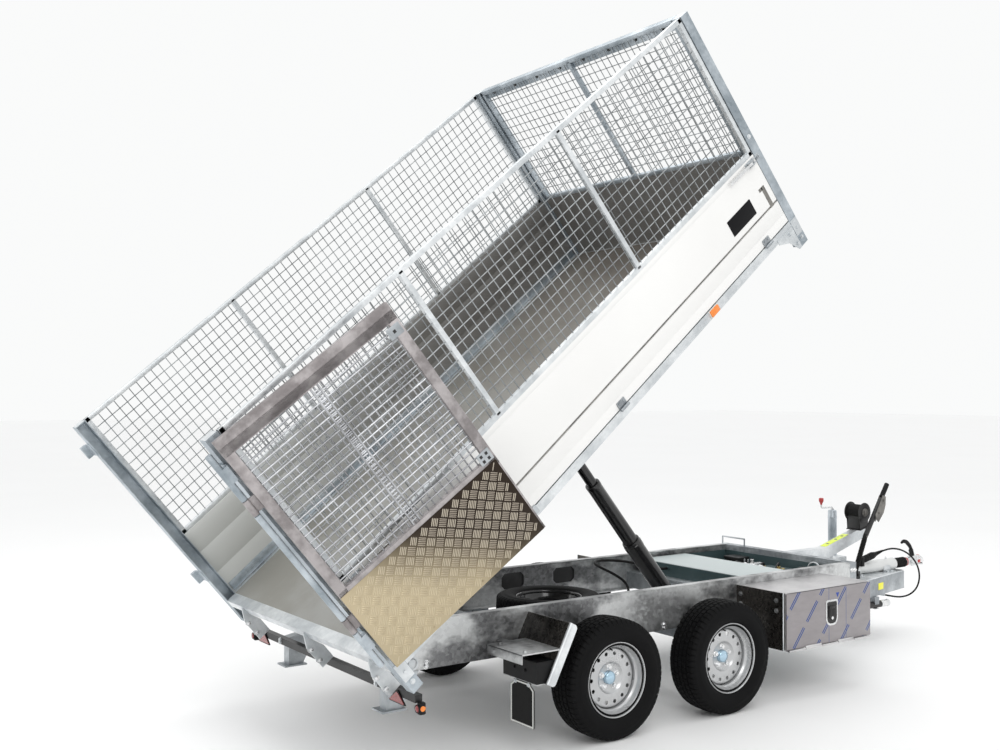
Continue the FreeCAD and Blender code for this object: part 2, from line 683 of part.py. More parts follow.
gland_end = Vector(*CABLE_ROUTE[0])
gland_run = Vector(*CABLE_ROUTE[1]) - gland_end
gland_start = gland_end - gland_run * (GLAND_L / gland_run.Length)
arm_bottom = RAIL_Z - ARM_H
gland = [rod(gland_start, gland_end, GLAND_R),
         block(gland_start.x, gland_start.x + 30, gland_start.y - 6, gland_start.y + 6, gland_start.z, arm_bottom + 1)]
stored = [rod((ROD_X[0], ROD_Y, ROD_Z), (ROD_X[1], ROD_Y, ROD_Z), ROD_R)]
for x in ROD_HANGERS:
    stored.append(block(x - ROD_R, x + ROD_R, ROD_Y - ROD_R, ROD_Y + ROD_R, ROD_Z, arm_bottom + 1))
end_plate = block(ARM_FRONT_X - 1, ARM_FRONT_X + PLATE_T, -ARM_FRONT_Y, ARM_FRONT_Y, RAIL_Z - ARM_H, RAIL_Z)
save("drawbar", fused(drawbar_arm(), end_plate, mirrored(drawbar_arm()), *gland, *stored))

# Overrun device with the parking socket of the plug, and its gaiter
deck = plate_z([(PLATE_BACK_X, PLATE_BACK_Y), (ARM_FRONT_X, ARM_FRONT_Y), (ARM_FRONT_X, -ARM_FRONT_Y),
                (PLATE_BACK_X, -PLATE_BACK_Y)], RAIL_Z, RAIL_Z + PLATE_T)
housing = rod((OVERRUN_BACK_X, 0, OVERRUN_Z), (OVERRUN_FRONT_X, 0, OVERRUN_Z), OVERRUN_R)
tip_x, tip_y, tip_z = PLUG_TIP
socket = block(tip_x - 40, tip_x - PLUG_R / 2, tip_y - PLUG_R + 2, tip_y + PLUG_R - 2, OVERRUN_Z + 20, tip_z + PLUG_R - 2)
save("overrun_device", fused(deck, housing, socket))
GAITER_X = OVERRUN_FRONT_X + SEAT_GAP
gaiter_outline = [(GAITER_X, 0)]
for k in range(GAITER_PLEATS):
    x = GAITER_X + GAITER_L * k / GAITER_PLEATS
    gaiter_outline += [(x, SHANK_R + 1), (x + 0.5 * GAITER_L / GAITER_PLEATS, GAITER_R)]
gaiter_outline += [(GAITER_X + GAITER_L, SHANK_R + 1), (GAITER_X + GAITER_L, 0)]
save("gaiter", moved(revolve_x(gaiter_outline), 0, 0, OVERRUN_Z))

# Coupling head over the ball, with its handle
HEAD_TOP = BALL_Z + HEAD_RISE
NOSE_X = BALL_X + HEAD_NOSE
shank = rod((GAITER_X + GAITER_L + SEAT_GAP, 0, OVERRUN_Z), (HEAD_BACK_X + 45, 0, OVERRUN_Z), SHANK_R)
head_outline = [(HEAD_BACK_X, -SHANK_R), (BALL_X - 30, -HEAD_HALF), (BALL_X + 15, -HEAD_HALF), (NOSE_X, -HEAD_HALF / 2),
                (NOSE_X, HEAD_HALF / 2), (BALL_X + 15, HEAD_HALF), (BALL_X - 30, HEAD_HALF), (HEAD_BACK_X, SHANK_R)]
head = plate_z(head_outline, BALL_Z - HEAD_SKIRT, HEAD_TOP)
slope = plate_y([(BALL_X + 5, HEAD_TOP + 1), (NOSE_X + 1, HEAD_TOP + 1), (NOSE_X + 1, HEAD_TOP - 26)], -HEAD_HALF - 1, HEAD_HALF + 1)
head = fused(shank, head.cut(slope))
head = head.cut(Part.makeSphere(BALL_R + SEAT_GAP, Vector(BALL_X, 0, BALL_Z)))
head = head.cut(rod((BALL_X, 0, BALL_Z - 100), (BALL_X, 0, BALL_Z), BALL_R + SEAT_GAP))
save("coupling_head", head)
handle = plate_y([(3020, 590), (3060, 600), (3110, 560), (3140, HEAD_TOP), (3165, HEAD_TOP), (3130, 575), (3065, 625), (3015, 612)],
                 -14, 14)

# Handbrake lever: foot plate, sleeve and lever, then the grip
def on_lever(point):
    return (point[0], LEVER_Y, point[1])


lever = fused(rod(on_lever(LEVER_FOOT), on_lever(LEVER_KNEE), LEVER_R), rod(on_lever(LEVER_KNEE), on_lever(LEVER_END), LEVER_R),
              Part.makeSphere(LEVER_R, Vector(*on_lever(LEVER_KNEE))),
              block(LEVER_FOOT[0] - 50, LEVER_FOOT[0] + 50, LEVER_Y - 12, LEVER_Y + 12, RAIL_Z + PLATE_T, LEVER_FOOT[1] + 25))
save("brake_lever", lever)
grip = rod(on_lever(LEVER_END), on_lever(GRIP_END), GRIP_R)
grip = moved(grip, SEAT_GAP / 2, 0, SEAT_GAP)
save("hand_grips", grip, handle)

# Winch arm, kinked upward, and the winch on it
arm_back = RAIL_FRONT_X + BEAM_D
winch_arm = plate_y([(arm_back, RAIL_TOP_Z), (WINCH_KNEE_X, RAIL_TOP_Z), (WINCH_END_X, WINCH_END_Z),
                     (WINCH_END_X - 20, WINCH_END_Z - WINCH_ARM_H), (WINCH_KNEE_X + 10, RAIL_TOP_Z - WINCH_ARM_H),
                     (arm_back, RAIL_TOP_Z - WINCH_ARM_H)], -WINCH_ARM_W / 2, WINCH_ARM_W / 2)
save("winch_arm", winch_arm)


def arm_top(x):
    return RAIL_TOP_Z + (WINCH_END_Z - RAIL_TOP_Z) * (x - WINCH_KNEE_X) / (WINCH_END_X - WINCH_KNEE_X)


cheeks = [rod((WINCH_X, y, WINCH_Z), (WINCH_X, y + WINCH_CHEEK_T, WINCH_Z), WINCH_R)
          for y in (-WINCH_HALF, WINCH_HALF - WINCH_CHEEK_T)]
core = rod((WINCH_X, -WINCH_HALF, WINCH_Z), (WINCH_X, WINCH_HALF, WINCH_Z), WINCH_CORE_R)
x0, x1 = WINCH_X - 40, WINCH_X + 40
foot = plate_y([(x0, arm_top(x0) + SEAT_GAP), (x1, arm_top(x1) + SEAT_GAP), (x1, WINCH_Z - 40), (x0, WINCH_Z - 40)],
               -WINCH_HALF + 5, WINCH_HALF - 5)
save("winch", fused(core, foot, *cheeks))


# Jockey wheel: clamp and outer tube, screw leg, fork and wheel
outer = ring((JACK_X, JACK_Y, JACK_TUBE_BOTTOM), (JACK_X, JACK_Y, JACK_TUBE_TOP), JACK_TUBE_R, JACK_LEG_R + RUN_GAP)
cap = rod((JACK_X, JACK_Y, JACK_TUBE_TOP - 1), (JACK_X, JACK_Y, JACK_TUBE_TOP + 12), JACK_TUBE_R)
arm_edge = ARM_BACK_Y + ARM_W + (ARM_FRONT_Y - ARM_BACK_Y - ARM_W) * (JACK_X - ARM_BACK_X) / (ARM_FRONT_X - ARM_BACK_X)
bracket = plate_z([(JACK_X - 35, arm_edge - 30), (JACK_X + 35, arm_edge - 40), (JACK_X + 35, JACK_Y), (JACK_X - 35, JACK_Y)],
                  RAIL_Z + 8, RAIL_Z + 20)
bracket = fused(bracket, block(JACK_X - 35, JACK_X + 35, arm_edge + 12, JACK_Y, RAIL_Z + 19, RAIL_Z + 110))
bracket = bracket.cut(rod((JACK_X, JACK_Y, 0), (JACK_X, JACK_Y, JACK_TUBE_TOP), JACK_TUBE_R))
bracket = bracket.cut(rod((JACK_X, JACK_Y, 0), (JACK_X, JACK_Y, JACK_TUBE_BOTTOM), JACK_TUBE_R + 8))
jack = fused(outer, cap, bracket)
save("jack_tube", jack)
CRANK_Z = JACK_TUBE_TOP + 24
crank_x = JACK_X - CRANK_REACH
crank = fused(rod((JACK_X, JACK_Y, JACK_TUBE_TOP + 12), (JACK_X, JACK_Y, CRANK_Z + 6), CRANK_R + 2),
              rod((JACK_X, JACK_Y, CRANK_Z), (crank_x, JACK_Y, CRANK_Z + 8), CRANK_R),
              rod((crank_x, JACK_Y, CRANK_Z + 2), (crank_x, JACK_Y, CRANK_Z + 30), CRANK_R))
knob = rod((crank_x, JACK_Y, CRANK_Z + 28), (crank_x, JACK_Y, CRANK_Z + 28 + KNOB_H), KNOB_R)
save("jack_crank", fused(crank, knob))
FORK_TOP = 2 * JACK_WHEEL_R + 36
save("jack_leg", rod((JACK_X, JACK_Y, FORK_TOP + SEAT_GAP), (JACK_X, JACK_Y, JACK_LEG_TOP), JACK_LEG_R))
WHEEL_X = JACK_X - JACK_TRAIL
cheek_y = JACK_WHEEL_W / 2 + 7
crown = block(WHEEL_X - 30, JACK_X + 26, JACK_Y - cheek_y - 5, JACK_Y + cheek_y + 5, FORK_TOP - 8, FORK_TOP)
sides = [plate_y([(WHEEL_X - 20, JACK_WHEEL_R - 18), (WHEEL_X + 20, JACK_WHEEL_R - 18), (JACK_X + 26, FORK_TOP - 4),
                  (WHEEL_X - 30, FORK_TOP - 4)], JACK_Y + y, JACK_Y + y + 5) for y in (cheek_y, -cheek_y - 5)]
axle = rod((WHEEL_X, JACK_Y - cheek_y - 8, JACK_WHEEL_R), (WHEEL_X, JACK_Y + cheek_y + 8, JACK_WHEEL_R), 8)
save("jack_fork", fused(crown, axle, *sides))
half = JACK_WHEEL_W / 2
roller = revolve_y([(8 + RUN_GAP, -half - 3), (25, -half - 3), (30, -half + 12), (JACK_WHEEL_R - 22, -half + 12),
                    (JACK_WHEEL_R - 18, -half), (JACK_WHEEL_R, -half + 8), (JACK_WHEEL_R, half - 8),
                    (JACK_WHEEL_R - 18, half), (JACK_WHEEL_R - 22, half - 12), (30, half - 12), (25, half + 3),
                    (8 + RUN_GAP, half + 3)], 0)
save("jack_wheel", moved(roller, WHEEL_X, JACK_Y, JACK_WHEEL_R))

# Cylinder cradle, barrel and two stages
CRADLE_X1 = CYL_X + 60
cradle_side = plate_y([(CYL_X - 50, CYL_Z - 40), (CRADLE_X1, CYL_Z - 40), (CRADLE_X1, RAIL_Z + 100), (CYL_X + 10, RAIL_Z + 100),
                       (CYL_X - 50, CYL_Z + 30)], CYL_R + 9, CYL_R + 21)
pin = rod((CYL_X, -CYL_R - 21, CYL_Z), (CYL_X, CYL_R + 21, CYL_Z), STUB_R)
oil_port = rod((CYL_X, CYL_R + 21, CYL_Z), HOSE_ROUTE[0], 11)
save("cylinder_cradle", fused(cradle_side, mirrored(cradle_side), pin, oil_port))
ex, ez = bed_point(EYE_U, EYE_V)
CYL_ANGLE = math.degrees(math.atan2(ez - CYL_Z, ex - CYL_X))
CYL_LENGTH = math.hypot(ez - CYL_Z, ex - CYL_X)
STAGE3_STROKE = CYL_LENGTH - CYL_CLOSED - STAGE1_STROKE - STAGE2_STROKE


def on_cylinder(shape):
    """Places a piece drawn along +X from the lower pivot on the raised cylinder."""
    copy = shape.copy()
    copy.rotate(Vector(0, 0, 0), Vector(0, -1, 0), CYL_ANGLE)
    return moved(copy, CYL_X, 0, CYL_Z)


BARREL_FOOT = 45.0
STAGE_FOOT = 75.0
lug = rod((0, -CYL_R + 4, 0), (0, CYL_R - 4, 0), 36)
barrel = fused(rod((BARREL_FOOT - 15, 0, 0), (BARREL_TOP, 0, 0), CYL_R), lug)
barrel = barrel.cut(rod((STAGE_FOOT - 10, 0, 0), (BARREL_TOP + 1, 0, 0), STAGE1_R + RUN_GAP))
barrel = barrel.cut(rod((0, -CYL_R, 0), (0, CYL_R, 0), STUB_R + RUN_GAP))
save("cylinder_barrel", on_cylinder(barrel))
s1 = STAGE1_STROKE
stage1 = ring((STAGE_FOOT + s1, 0, 0), (BARREL_TOP + STAGE_STEP + s1, 0, 0), STAGE1_R, STAGE2_R + RUN_GAP)
save("cylinder_stage1", on_cylinder(stage1))
s2 = s1 + STAGE2_STROKE
stage2 = ring((STAGE_FOOT + 5 + s2, 0, 0), (BARREL_TOP + 2 * STAGE_STEP + s2, 0, 0), STAGE2_R, STAGE3_R + RUN_GAP)
save("cylinder_stage2", on_cylinder(stage2))
stage3 = fused(rod((STAGE_FOOT + 10 + CYL_LENGTH - CYL_CLOSED, 0, 0), (CYL_LENGTH, 0, 0), STAGE3_R),
               rod((CYL_LENGTH, -EYE_HALF, 0), (CYL_LENGTH, EYE_HALF, 0), EYE_R))
save("cylinder_stage3", on_cylinder(stage3))

# Bed: floor, crossbars, runners with the tip ears, and the cylinder's carrier
INNER_Y = HALF_W - EDGE_W
floor = block(POST, BED_L - POST, -INNER_Y, INNER_Y, -FLOOR_T, 0)
save("bed_floor", in_bed(floor))
bar_places = [POST, 500, 970, BAY_U0 - CROSSBAR_W, BAY_U1, 2600, BED_L - POST - CROSSBAR_W]
bars = [block(u, u + CROSSBAR_W, -INNER_Y, INNER_Y, -FLOOR_T - CROSSBAR_H, -FLOOR_T) for u in bar_places]
save("bed_crossbars", *[in_bed(b) for b in bars])
RUNNER_TOP = -FLOOR_T - CROSSBAR_H
RUNNER_BOTTOM = RUNNER_TOP - RUNNER_H
runners = []
for s in (1, -1):
    beam_ = block(POST, BED_L - POST, s * (RUNNER_Y - RUNNER_W / 2), s * (RUNNER_Y + RUNNER_W / 2), RUNNER_BOTTOM, RUNNER_TOP)
    ear = fused(plate_y([(BED_PIVOT_U - 90, RUNNER_BOTTOM + 1), (BED_PIVOT_U + 90, RUNNER_BOTTOM + 1),
                         (BED_PIVOT_U + EAR_R - 2, BED_PIVOT_V), (BED_PIVOT_U - EAR_R + 2, BED_PIVOT_V)],
                        s * (RUNNER_Y + RUNNER_W / 2 - EAR_T), s * (RUNNER_Y + RUNNER_W / 2)),
                rod((BED_PIVOT_U, s * (RUNNER_Y + RUNNER_W / 2 - EAR_T), BED_PIVOT_V),
                    (BED_PIVOT_U, s * (RUNNER_Y + RUNNER_W / 2), BED_PIVOT_V), EAR_R))
    bore = rod((BED_PIVOT_U, -HALF_W, BED_PIVOT_V), (BED_PIVOT_U, HALF_W, BED_PIVOT_V), PIVOT_SHAFT_R + RUN_GAP)
    runners.append(in_bed(fused(beam_, ear).cut(bore)))
for s in (1, -1):
    plate = block(BAY_U0, BAY_U1, s * CARRIER_Y, s * (CARRIER_Y + CARRIER_T), -FLOOR_T - 60, -FLOOR_T)
    boss = plate_y([(EYE_U - 110, -FLOOR_T - 50), (EYE_U + 110, -FLOOR_T - 50), (EYE_U + 35, EYE_V - 30),
                    (EYE_U - 35, EYE_V - 30)], s * CARRIER_Y, s * (CARRIER_Y + CARRIER_T))
    stub = rod((EYE_U, s * CARRIER_Y, EYE_V), (EYE_U, s * (CARRIER_Y + CARRIER_T + 20), EYE_V), 22)
    runners.append(in_bed(fused(plate, boss, stub)))
save("bed_runners", *runners)

# Bed edge: side and end rails between four corner posts, with the lugs under the rear
side_rail = block(POST, BED_L - POST, HALF_W - EDGE_W, HALF_W, -EDGE_H, 0)
end_rails = []
for u0 in (0, BED_L - POST):
    end_rails.append(block(u0, u0 + POST, -INNER_Y, INNER_Y, -EDGE_H, 0))
lug_outline = [(-8, 0), (-42, -70), (-42, -200), (30, -200), (30, -120), (0, -44), (20, -44), (20, -20), (4, -1)]
rear_lugs = [plate_y(lug_outline, y, y + LUG_T) for y in LUG_PLACES]
end_rails[0] = fused(end_rails[0], *rear_lugs)
save("bed_edge_rails", in_bed(side_rail), in_bed(mirrored(side_rail)), *[in_bed(r) for r in end_rails])


def post(u0):
    """A folded post, open towards the inside of the bed and closed at its top."""
    outer = block(u0, u0 + POST, HALF_W - EDGE_W, HALF_W, -POST_DROP, BED_H)
    return outer.cut(block(u0 + POST_T, u0 + POST - POST_T, HALF_W - EDGE_W - 1, HALF_W - POST_T, -POST_DROP - 1, BED_H - POST_T))


posts = [post(0), post(BED_L - POST), mirrored(post(0)), mirrored(post(BED_L - POST))]
hinge_y = -HALF_W - HINGE_OUT
fixed = [rod((HINGE_U, hinge_y, HINGE_TUBES[0][0]), (HINGE_U, hinge_y, HINGE_TUBES[-1][1]), HINGE_PIN_R)]
for v0, v1 in HINGE_TUBES:
    fixed.append(rod((HINGE_U, hinge_y, v0), (HINGE_U, hinge_y, v1), HINGE_TUBE_R))
for v0 in HINGE_BRACKETS:
    fixed.append(block(HINGE_U, -6, hinge_y - HINGE_TUBE_R, hinge_y + 12, v0, v0 + HINGE_BRACKET_H))
    fixed.append(block(-6, 0, hinge_y, -HALF_W + 50, v0, v0 + HINGE_BRACKET_H))
brackets = [mirrored(b) for b in fixed if b.BoundBox.ZLength < 100]
posts[0] = fused(posts[0], *brackets)
posts[2] = fused(posts[2], *fixed)
save("corner_posts", *[in_bed(p) for p in posts])

# Side panels with their groove, and the front panel
panel = block(POST + 2, BED_L - POST - 2, HALF_W - 2 - SIDE_T, HALF_W - 2, SIDE_GAP, SIDE_H)
panel = panel.cut(block(POST, BED_L - POST, HALF_W - 2 - GROOVE, HALF_W, GROOVE_V - GROOVE / 2, GROOVE_V + GROOVE / 2))
hinge_axis_y = HALF_W + SIDE_HINGE_OUT
for u in (0.075 * BED_L, 0.5 * BED_L, 0.925 * BED_L - 60):
    knuckle = fused(rod((u, hinge_axis_y, 0), (u + 60, hinge_axis_y, 0), SIDE_HINGE_R),
                    block(u, u + 60, HALF_W - 3, hinge_axis_y + 4, 1, 40))
    panel = fused(panel, knuckle.cut(block(0, BED_L, 0, HALF_W - 2, -50, 60)))
save("side_panel_left", in_bed(panel))
save("side_panel_right", in_bed(mirrored(panel)))
front = block(BED_L - POST + 10, BED_L - POST + 10 + SIDE_T, -INNER_Y, INNER_Y, 0, SIDE_H)
save("front_panel", in_bed(front))


def grid(a0, a1, b0, b1, bar, pitch, depth, uprights=()):
    """A framed mesh in the (a, b) plane: a frame of square bars, uprights, and two layers of wires."""
    frame = Part.makeBox(a1 - a0, bar, b1 - b0, Vector(a0, 0, b0))
    frame = frame.cut(Part.makeBox(a1 - a0 - 2 * bar, bar + 2, b1 - b0 - 2 * bar, Vector(a0 + bar, -1, b0 + bar)))
    pieces = [Part.makeBox(bar, bar, b1 - b0 - bar, Vector(a - bar / 2, 0, b0 + bar / 2)) for a in uprights]
    count = int((a1 - a0 - 2 * bar) / pitch)
    step = (a1 - a0 - 2 * bar) / count
    for k in range(1, count):
        pieces.append(Part.makeBox(WIRE, WIRE, b1 - b0 - bar, Vector(a0 + bar + k * step - WIRE / 2, depth, b0 + bar / 2)))
    count = int((b1 - b0 - 2 * bar) / pitch)
    step = (b1 - b0 - 2 * bar) / count
    for k in range(1, count):
        pieces.append(Part.makeBox(a1 - a0 - bar, WIRE, WIRE, Vector(a0 + bar / 2, depth + WIRE + WIRE_GAP,
                                                                     b0 + bar + k * step - WIRE / 2)))
    return frame.multiFuse(pieces)


MESH_V0 = SIDE_H + 0.0
third = BED_L / 3
mesh = moved(grid(POST + 5, BED_L - POST - 5, MESH_V0, BED_H, MESH_BAR, MESH_PITCH, 8, (third, 2 * third)),
             0, HALF_W - 2 - MESH_BAR, 0)
save("mesh_left", in_bed(mesh))
save("mesh_right", in_bed(mirrored(mesh)))
front_mesh = grid(-INNER_Y, INNER_Y, MESH_V0, BED_H, MESH_BAR, MESH_PITCH, 8, (0,))
front_mesh.rotate(Vector(0, 0, 0), Vector(0, 0, 1), 90)
front_mesh = moved(front_mesh, BED_L - POST + 10 + MESH_BAR, 0, 0)
top_u0 = BED_L - POST + 10 + MESH_BAR - 1
top_rail = block(top_u0, BED_L, -INNER_Y, INNER_Y, BED_H - TOP_RAIL_H, BED_H)
top_rail = top_rail.cut(block(top_u0 + POST_T, BED_L - POST_T, -INNER_Y - 1, INNER_Y + 1, BED_H - TOP_RAIL_H - 1, BED_H - POST_T))
hole_v = BED_H - TOP_RAIL_H / 2
holes = []
for k in range(TOP_RAIL_HOLES):
    y = INNER_Y * (2 * (k + 0.5) / TOP_RAIL_HOLES - 1)
    holes.append(rod((top_u0 - 1, y, hole_v), (top_u0 + POST_T + 1, y, hole_v), TOP_RAIL_HOLE_R))
top_rail = top_rail.cut(Part.makeCompound(holes))
save("mesh_front", in_bed(fused(front_mesh, top_rail)))

# Door leaf, drawn closed and then swung open about its hinge
def door_at(shape):
    copy = shape.copy()
    copy.rotate(Vector(HINGE_U, hinge_y, 0), Vector(0, 0, 1), DOOR_OPEN)
    return in_bed(copy)


leaf_u0 = HINGE_U - HINGE_FACE
door_y0 = hinge_y + HINGE_ROOM
door_y1 = hinge_y + DOOR_W
plate_top = DOOR_BOTTOM + DOOR_PLATE_H
leaf = grid(door_y0, door_y1, plate_top, DOOR_TOP, DOOR_STILE, DOOR_PITCH, 10, (0.5 * (door_y0 + door_y1),))
leaf.rotate(Vector(0, 0, 0), Vector(0, 0, 1), 90)
leaf = moved(leaf, leaf_u0 + DOOR_STILE, 0, 0)
trim = block(leaf_u0 + DOOR_T, leaf_u0 + DOOR_STILE + 1, door_y0 - 1, door_y1 + 1, plate_top - 1, DOOR_TOP + 1)
leaf = leaf.cut(trim)
stiles = [block(leaf_u0, leaf_u0 + DOOR_T, y, y + DOOR_STILE, DOOR_BOTTOM, plate_top + 20) for y in (door_y0, door_y1 - DOOR_STILE)]
stiles.append(block(leaf_u0, leaf_u0 + DOOR_T, door_y0, door_y1, DOOR_BOTTOM, DOOR_BOTTOM + 30))
stiles.append(block(leaf_u0, leaf_u0 + DOOR_T, door_y0, door_y1, DOOR_TOP - DOOR_TOP_BAR, DOOR_TOP))
knuckles = []
for v0 in HINGE_KNUCKLES:
    v1 = v0 + HINGE_KNUCKLE_H
    knuckles.append(ring((HINGE_U, hinge_y, v0), (HINGE_U, hinge_y, v1), HINGE_TUBE_R, HINGE_PIN_R + RUN_GAP))
    tongue = block(leaf_u0, leaf_u0 + 10, hinge_y, door_y0 + 10, v0, v1)
    knuckles.append(tongue.cut(rod((HINGE_U, hinge_y, v0 - 1), (HINGE_U, hinge_y, v1 + 1), HINGE_TUBE_R - 1)))
save("door_leaf", door_at(fused(leaf, *(stiles + knuckles))))
skin = block(leaf_u0 - 3, leaf_u0, door_y0, door_y1, DOOR_BOTTOM, plate_top + 25)
save("door_plate", door_at(skin))

# Cords: the trailer cable with its plug, and the hose from the tray to the cylinder's oil port
def cord(route, diameter):
    """A round cord along straight runs joined by tangent arcs."""
    points = [Vector(*p) for p in route]
    edges = []
    start = points[0]
    for before, corner, after in zip(points, points[1:], points[2:]):
        back, ahead = before - corner, after - corner
        reach = 0.45 * min(back.Length, ahead.Length)
        first = corner + back * (reach / back.Length)
        last = corner + ahead * (reach / ahead.Length)
        half = 0.5 * back.getAngle(ahead)
        inward = (first + last) * 0.5 - corner
        depth = reach / math.cos(half) - reach * math.tan(half)
        middle = corner + inward * (depth / inward.Length)
        edges += [Part.LineSegment(start, first).toShape(), Part.Arc(first, middle, last).toShape()]
        print("bend radius", round(reach * math.tan(half), 1))
        start = last
    edges.append(Part.LineSegment(start, points[-1]).toShape())
    path = Part.Wire(edges)
    section = Part.Wire([Part.makeCircle(0.5 * diameter, points[0], points[1] - points[0])])
    tube = path.makePipeShell([section], True, False)
    print("cord length", round(path.Length), "volume share", round(tube.Volume / (path.Length * math.pi * diameter ** 2 / 4), 4))
    return tube


save("trailer_cable", cord(CABLE_ROUTE, CABLE_D))
save("cylinder_hose", cord(HOSE_ROUTE, HOSE_D))
cable_end = Vector(*CABLE_ROUTE[-1])
last_run = cable_end - Vector(*CABLE_ROUTE[-2])
cable_way = last_run * (1 / last_run.Length)
plug_tip = Vector(*PLUG_TIP)
sleeve_start = cable_end - cable_way * PLUG_R / 4
sleeve_end = cable_end + (plug_tip - cable_end) * 0.42
sleeve = Part.makeCone(CABLE_D / 2 + 2, 0.7 * PLUG_R, (sleeve_end - sleeve_start).Length, sleeve_start, sleeve_end - sleeve_start)
sleeve = sleeve.cut(rod(cable_end - cable_way * PLUG_R, cable_end + cable_way * SEAT_GAP, CABLE_D / 2 + SEAT_GAP))
plug_body = rod(sleeve_end - (sleeve_end - cable_end) * 0.02, plug_tip, PLUG_R)
save("cable_plug", fused(sleeve, plug_body))
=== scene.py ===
"""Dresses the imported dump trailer: wheels, mesh sides, checker plate, film-covered toolbox, winch and cords."""
import math

import bmesh
import bpy
import numpy as np
from mathutils import Matrix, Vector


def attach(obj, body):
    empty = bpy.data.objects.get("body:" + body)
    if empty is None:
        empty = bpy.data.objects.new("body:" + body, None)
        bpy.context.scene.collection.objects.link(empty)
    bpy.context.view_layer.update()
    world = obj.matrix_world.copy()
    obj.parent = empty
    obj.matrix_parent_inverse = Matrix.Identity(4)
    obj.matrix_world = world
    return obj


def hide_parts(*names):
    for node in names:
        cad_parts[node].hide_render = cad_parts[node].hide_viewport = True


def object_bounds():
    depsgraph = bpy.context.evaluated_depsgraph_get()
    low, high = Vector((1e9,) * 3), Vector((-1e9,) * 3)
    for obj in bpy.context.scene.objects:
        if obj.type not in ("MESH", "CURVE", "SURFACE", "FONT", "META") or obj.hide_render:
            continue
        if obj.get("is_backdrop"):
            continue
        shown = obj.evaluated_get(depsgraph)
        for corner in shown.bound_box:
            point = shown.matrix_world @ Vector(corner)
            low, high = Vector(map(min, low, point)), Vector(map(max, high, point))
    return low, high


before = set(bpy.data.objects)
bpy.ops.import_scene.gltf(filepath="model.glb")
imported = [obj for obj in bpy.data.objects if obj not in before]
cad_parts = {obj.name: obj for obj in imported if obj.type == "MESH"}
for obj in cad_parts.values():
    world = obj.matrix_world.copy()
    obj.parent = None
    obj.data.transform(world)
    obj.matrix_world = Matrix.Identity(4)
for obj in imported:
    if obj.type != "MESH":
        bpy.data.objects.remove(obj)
CAD_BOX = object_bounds()

# The design's own axes, in metres: X forward from midway between the axles, Y left, Z up from the ground
BALL = np.array([3.2, 0.0, 0.45])
PIVOT = np.array([-1.37, 0.0, 0.45])
BED_PIVOT = np.array([0.177, 0.0, -0.285])
TILT = math.radians(40)
X, Y, Z = np.eye(3)


def ground(points):
    """Points of the design's axes as points of the row frame, whose origin is the tow ball."""
    return np.asarray(points, float) - BALL


def bed(points):
    """Points (u, y, v) of the bed, turned by the tilt about the tip pivot."""
    x, y, z = np.moveaxis(np.asarray(points, float) - BED_PIVOT, -1, 0)
    c, s = math.cos(TILT), math.sin(TILT)
    return ground(PIVOT + np.stack([x * c - z * s, y, x * s + z * c], -1))


def swung(hinge, degrees):
    """A placing that turns a bed piece about an upright hinge line at (u, y)."""
    c, s = math.cos(math.radians(degrees)), math.sin(math.radians(degrees))

    def place(points):
        u, y, v = np.moveaxis(np.asarray(points, float), -1, 0)
        du, dy = u - hinge[0], y - hinge[1]
        return bed(np.stack([hinge[0] + du * c - dy * s, hinge[1] + du * s + dy * c, v], -1))

    return place


def unit(v):
    """v / |v|."""
    v = np.asarray(v, float)
    return v / np.linalg.norm(v)


def axes_along(direction, up=Z):
    """Across, up and along: a right-handed set of unit vectors for a direction."""
    along = unit(direction)
    if abs(along @ up) > 0.98:
        up = X if abs(along @ X) < 0.9 else Y
    across = unit(np.cross(up, along))
    return across, np.cross(along, across), along


# Shapes are (points, faces) pairs
def surface(points, wrap=(False, True), caps=False):
    """A skin over a rows by columns grid of points: quads between neighbours, and flat end caps."""
    points = np.asarray(points, float)
    rows, cols = points.shape[:2]
    i = np.arange(rows - (not wrap[0]))[:, None]
    j = np.arange(cols - (not wrap[1]))[None, :]
    ni, nj = (i + 1) % rows, (j + 1) % cols
    quads = np.stack([i * cols + j, i * cols + nj, ni * cols + nj, ni * cols + j], -1)
    faces = quads.reshape(-1, 4).tolist()
    if caps:
        faces += [list(range(cols))[::-1], list(range((rows - 1) * cols, rows * cols))]
    return points.reshape(-1, 3), faces


def turned(profile, centre, axis, sides=48, closed=False):
    """A profile of (radius, offset) points turned about an axis: centre + offset·axis + radius·(cos, sin)."""
    across, up, along = axes_along(axis)
    r, s = np.asarray(profile, float).T
    a = np.linspace(0, 2 * np.pi, sides, endpoint=False)
    round_ = np.cos(a)[:, None] * across + np.sin(a)[:, None] * up
    grid = np.asarray(centre) + s[:, None, None] * along + r[:, None, None] * round_
    return surface(grid, (closed, True), not closed)


def carried(outline, path, up=Z, closed=False):
    """A closed outline of (across, up) points carried square along a path."""
    path = np.asarray(path, float)
    step = np.gradient(path, axis=0) if not closed else np.roll(path, -1, 0) - np.roll(path, 1, 0)
    along = step / np.linalg.norm(step, axis=1)[:, None]
    across = np.cross(up, along)
    across /= np.linalg.norm(across, axis=1)[:, None]
    rise = np.cross(along, across)
    a, b = np.asarray(outline, float).T
    grid = path[:, None] + a[None, :, None] * across[:, None] + b[None, :, None] * rise[:, None]
    return surface(grid, (closed, True), not closed)


def rounded_box(width, height, radius, steps=3):
    """The outline of a rectangle whose corners are quarter circles."""
    a = np.linspace(0, np.pi / 2, steps + 1)
    corners = []
    for k, (sx, sy) in enumerate(((1, 1), (-1, 1), (-1, -1), (1, -1))):
        t = a + k * np.pi / 2
        corners.append(np.stack([sx * (width / 2 - radius) + radius * np.cos(t),
                                 sy * (height / 2 - radius) + radius * np.sin(t)], -1))
    return np.concatenate(corners)


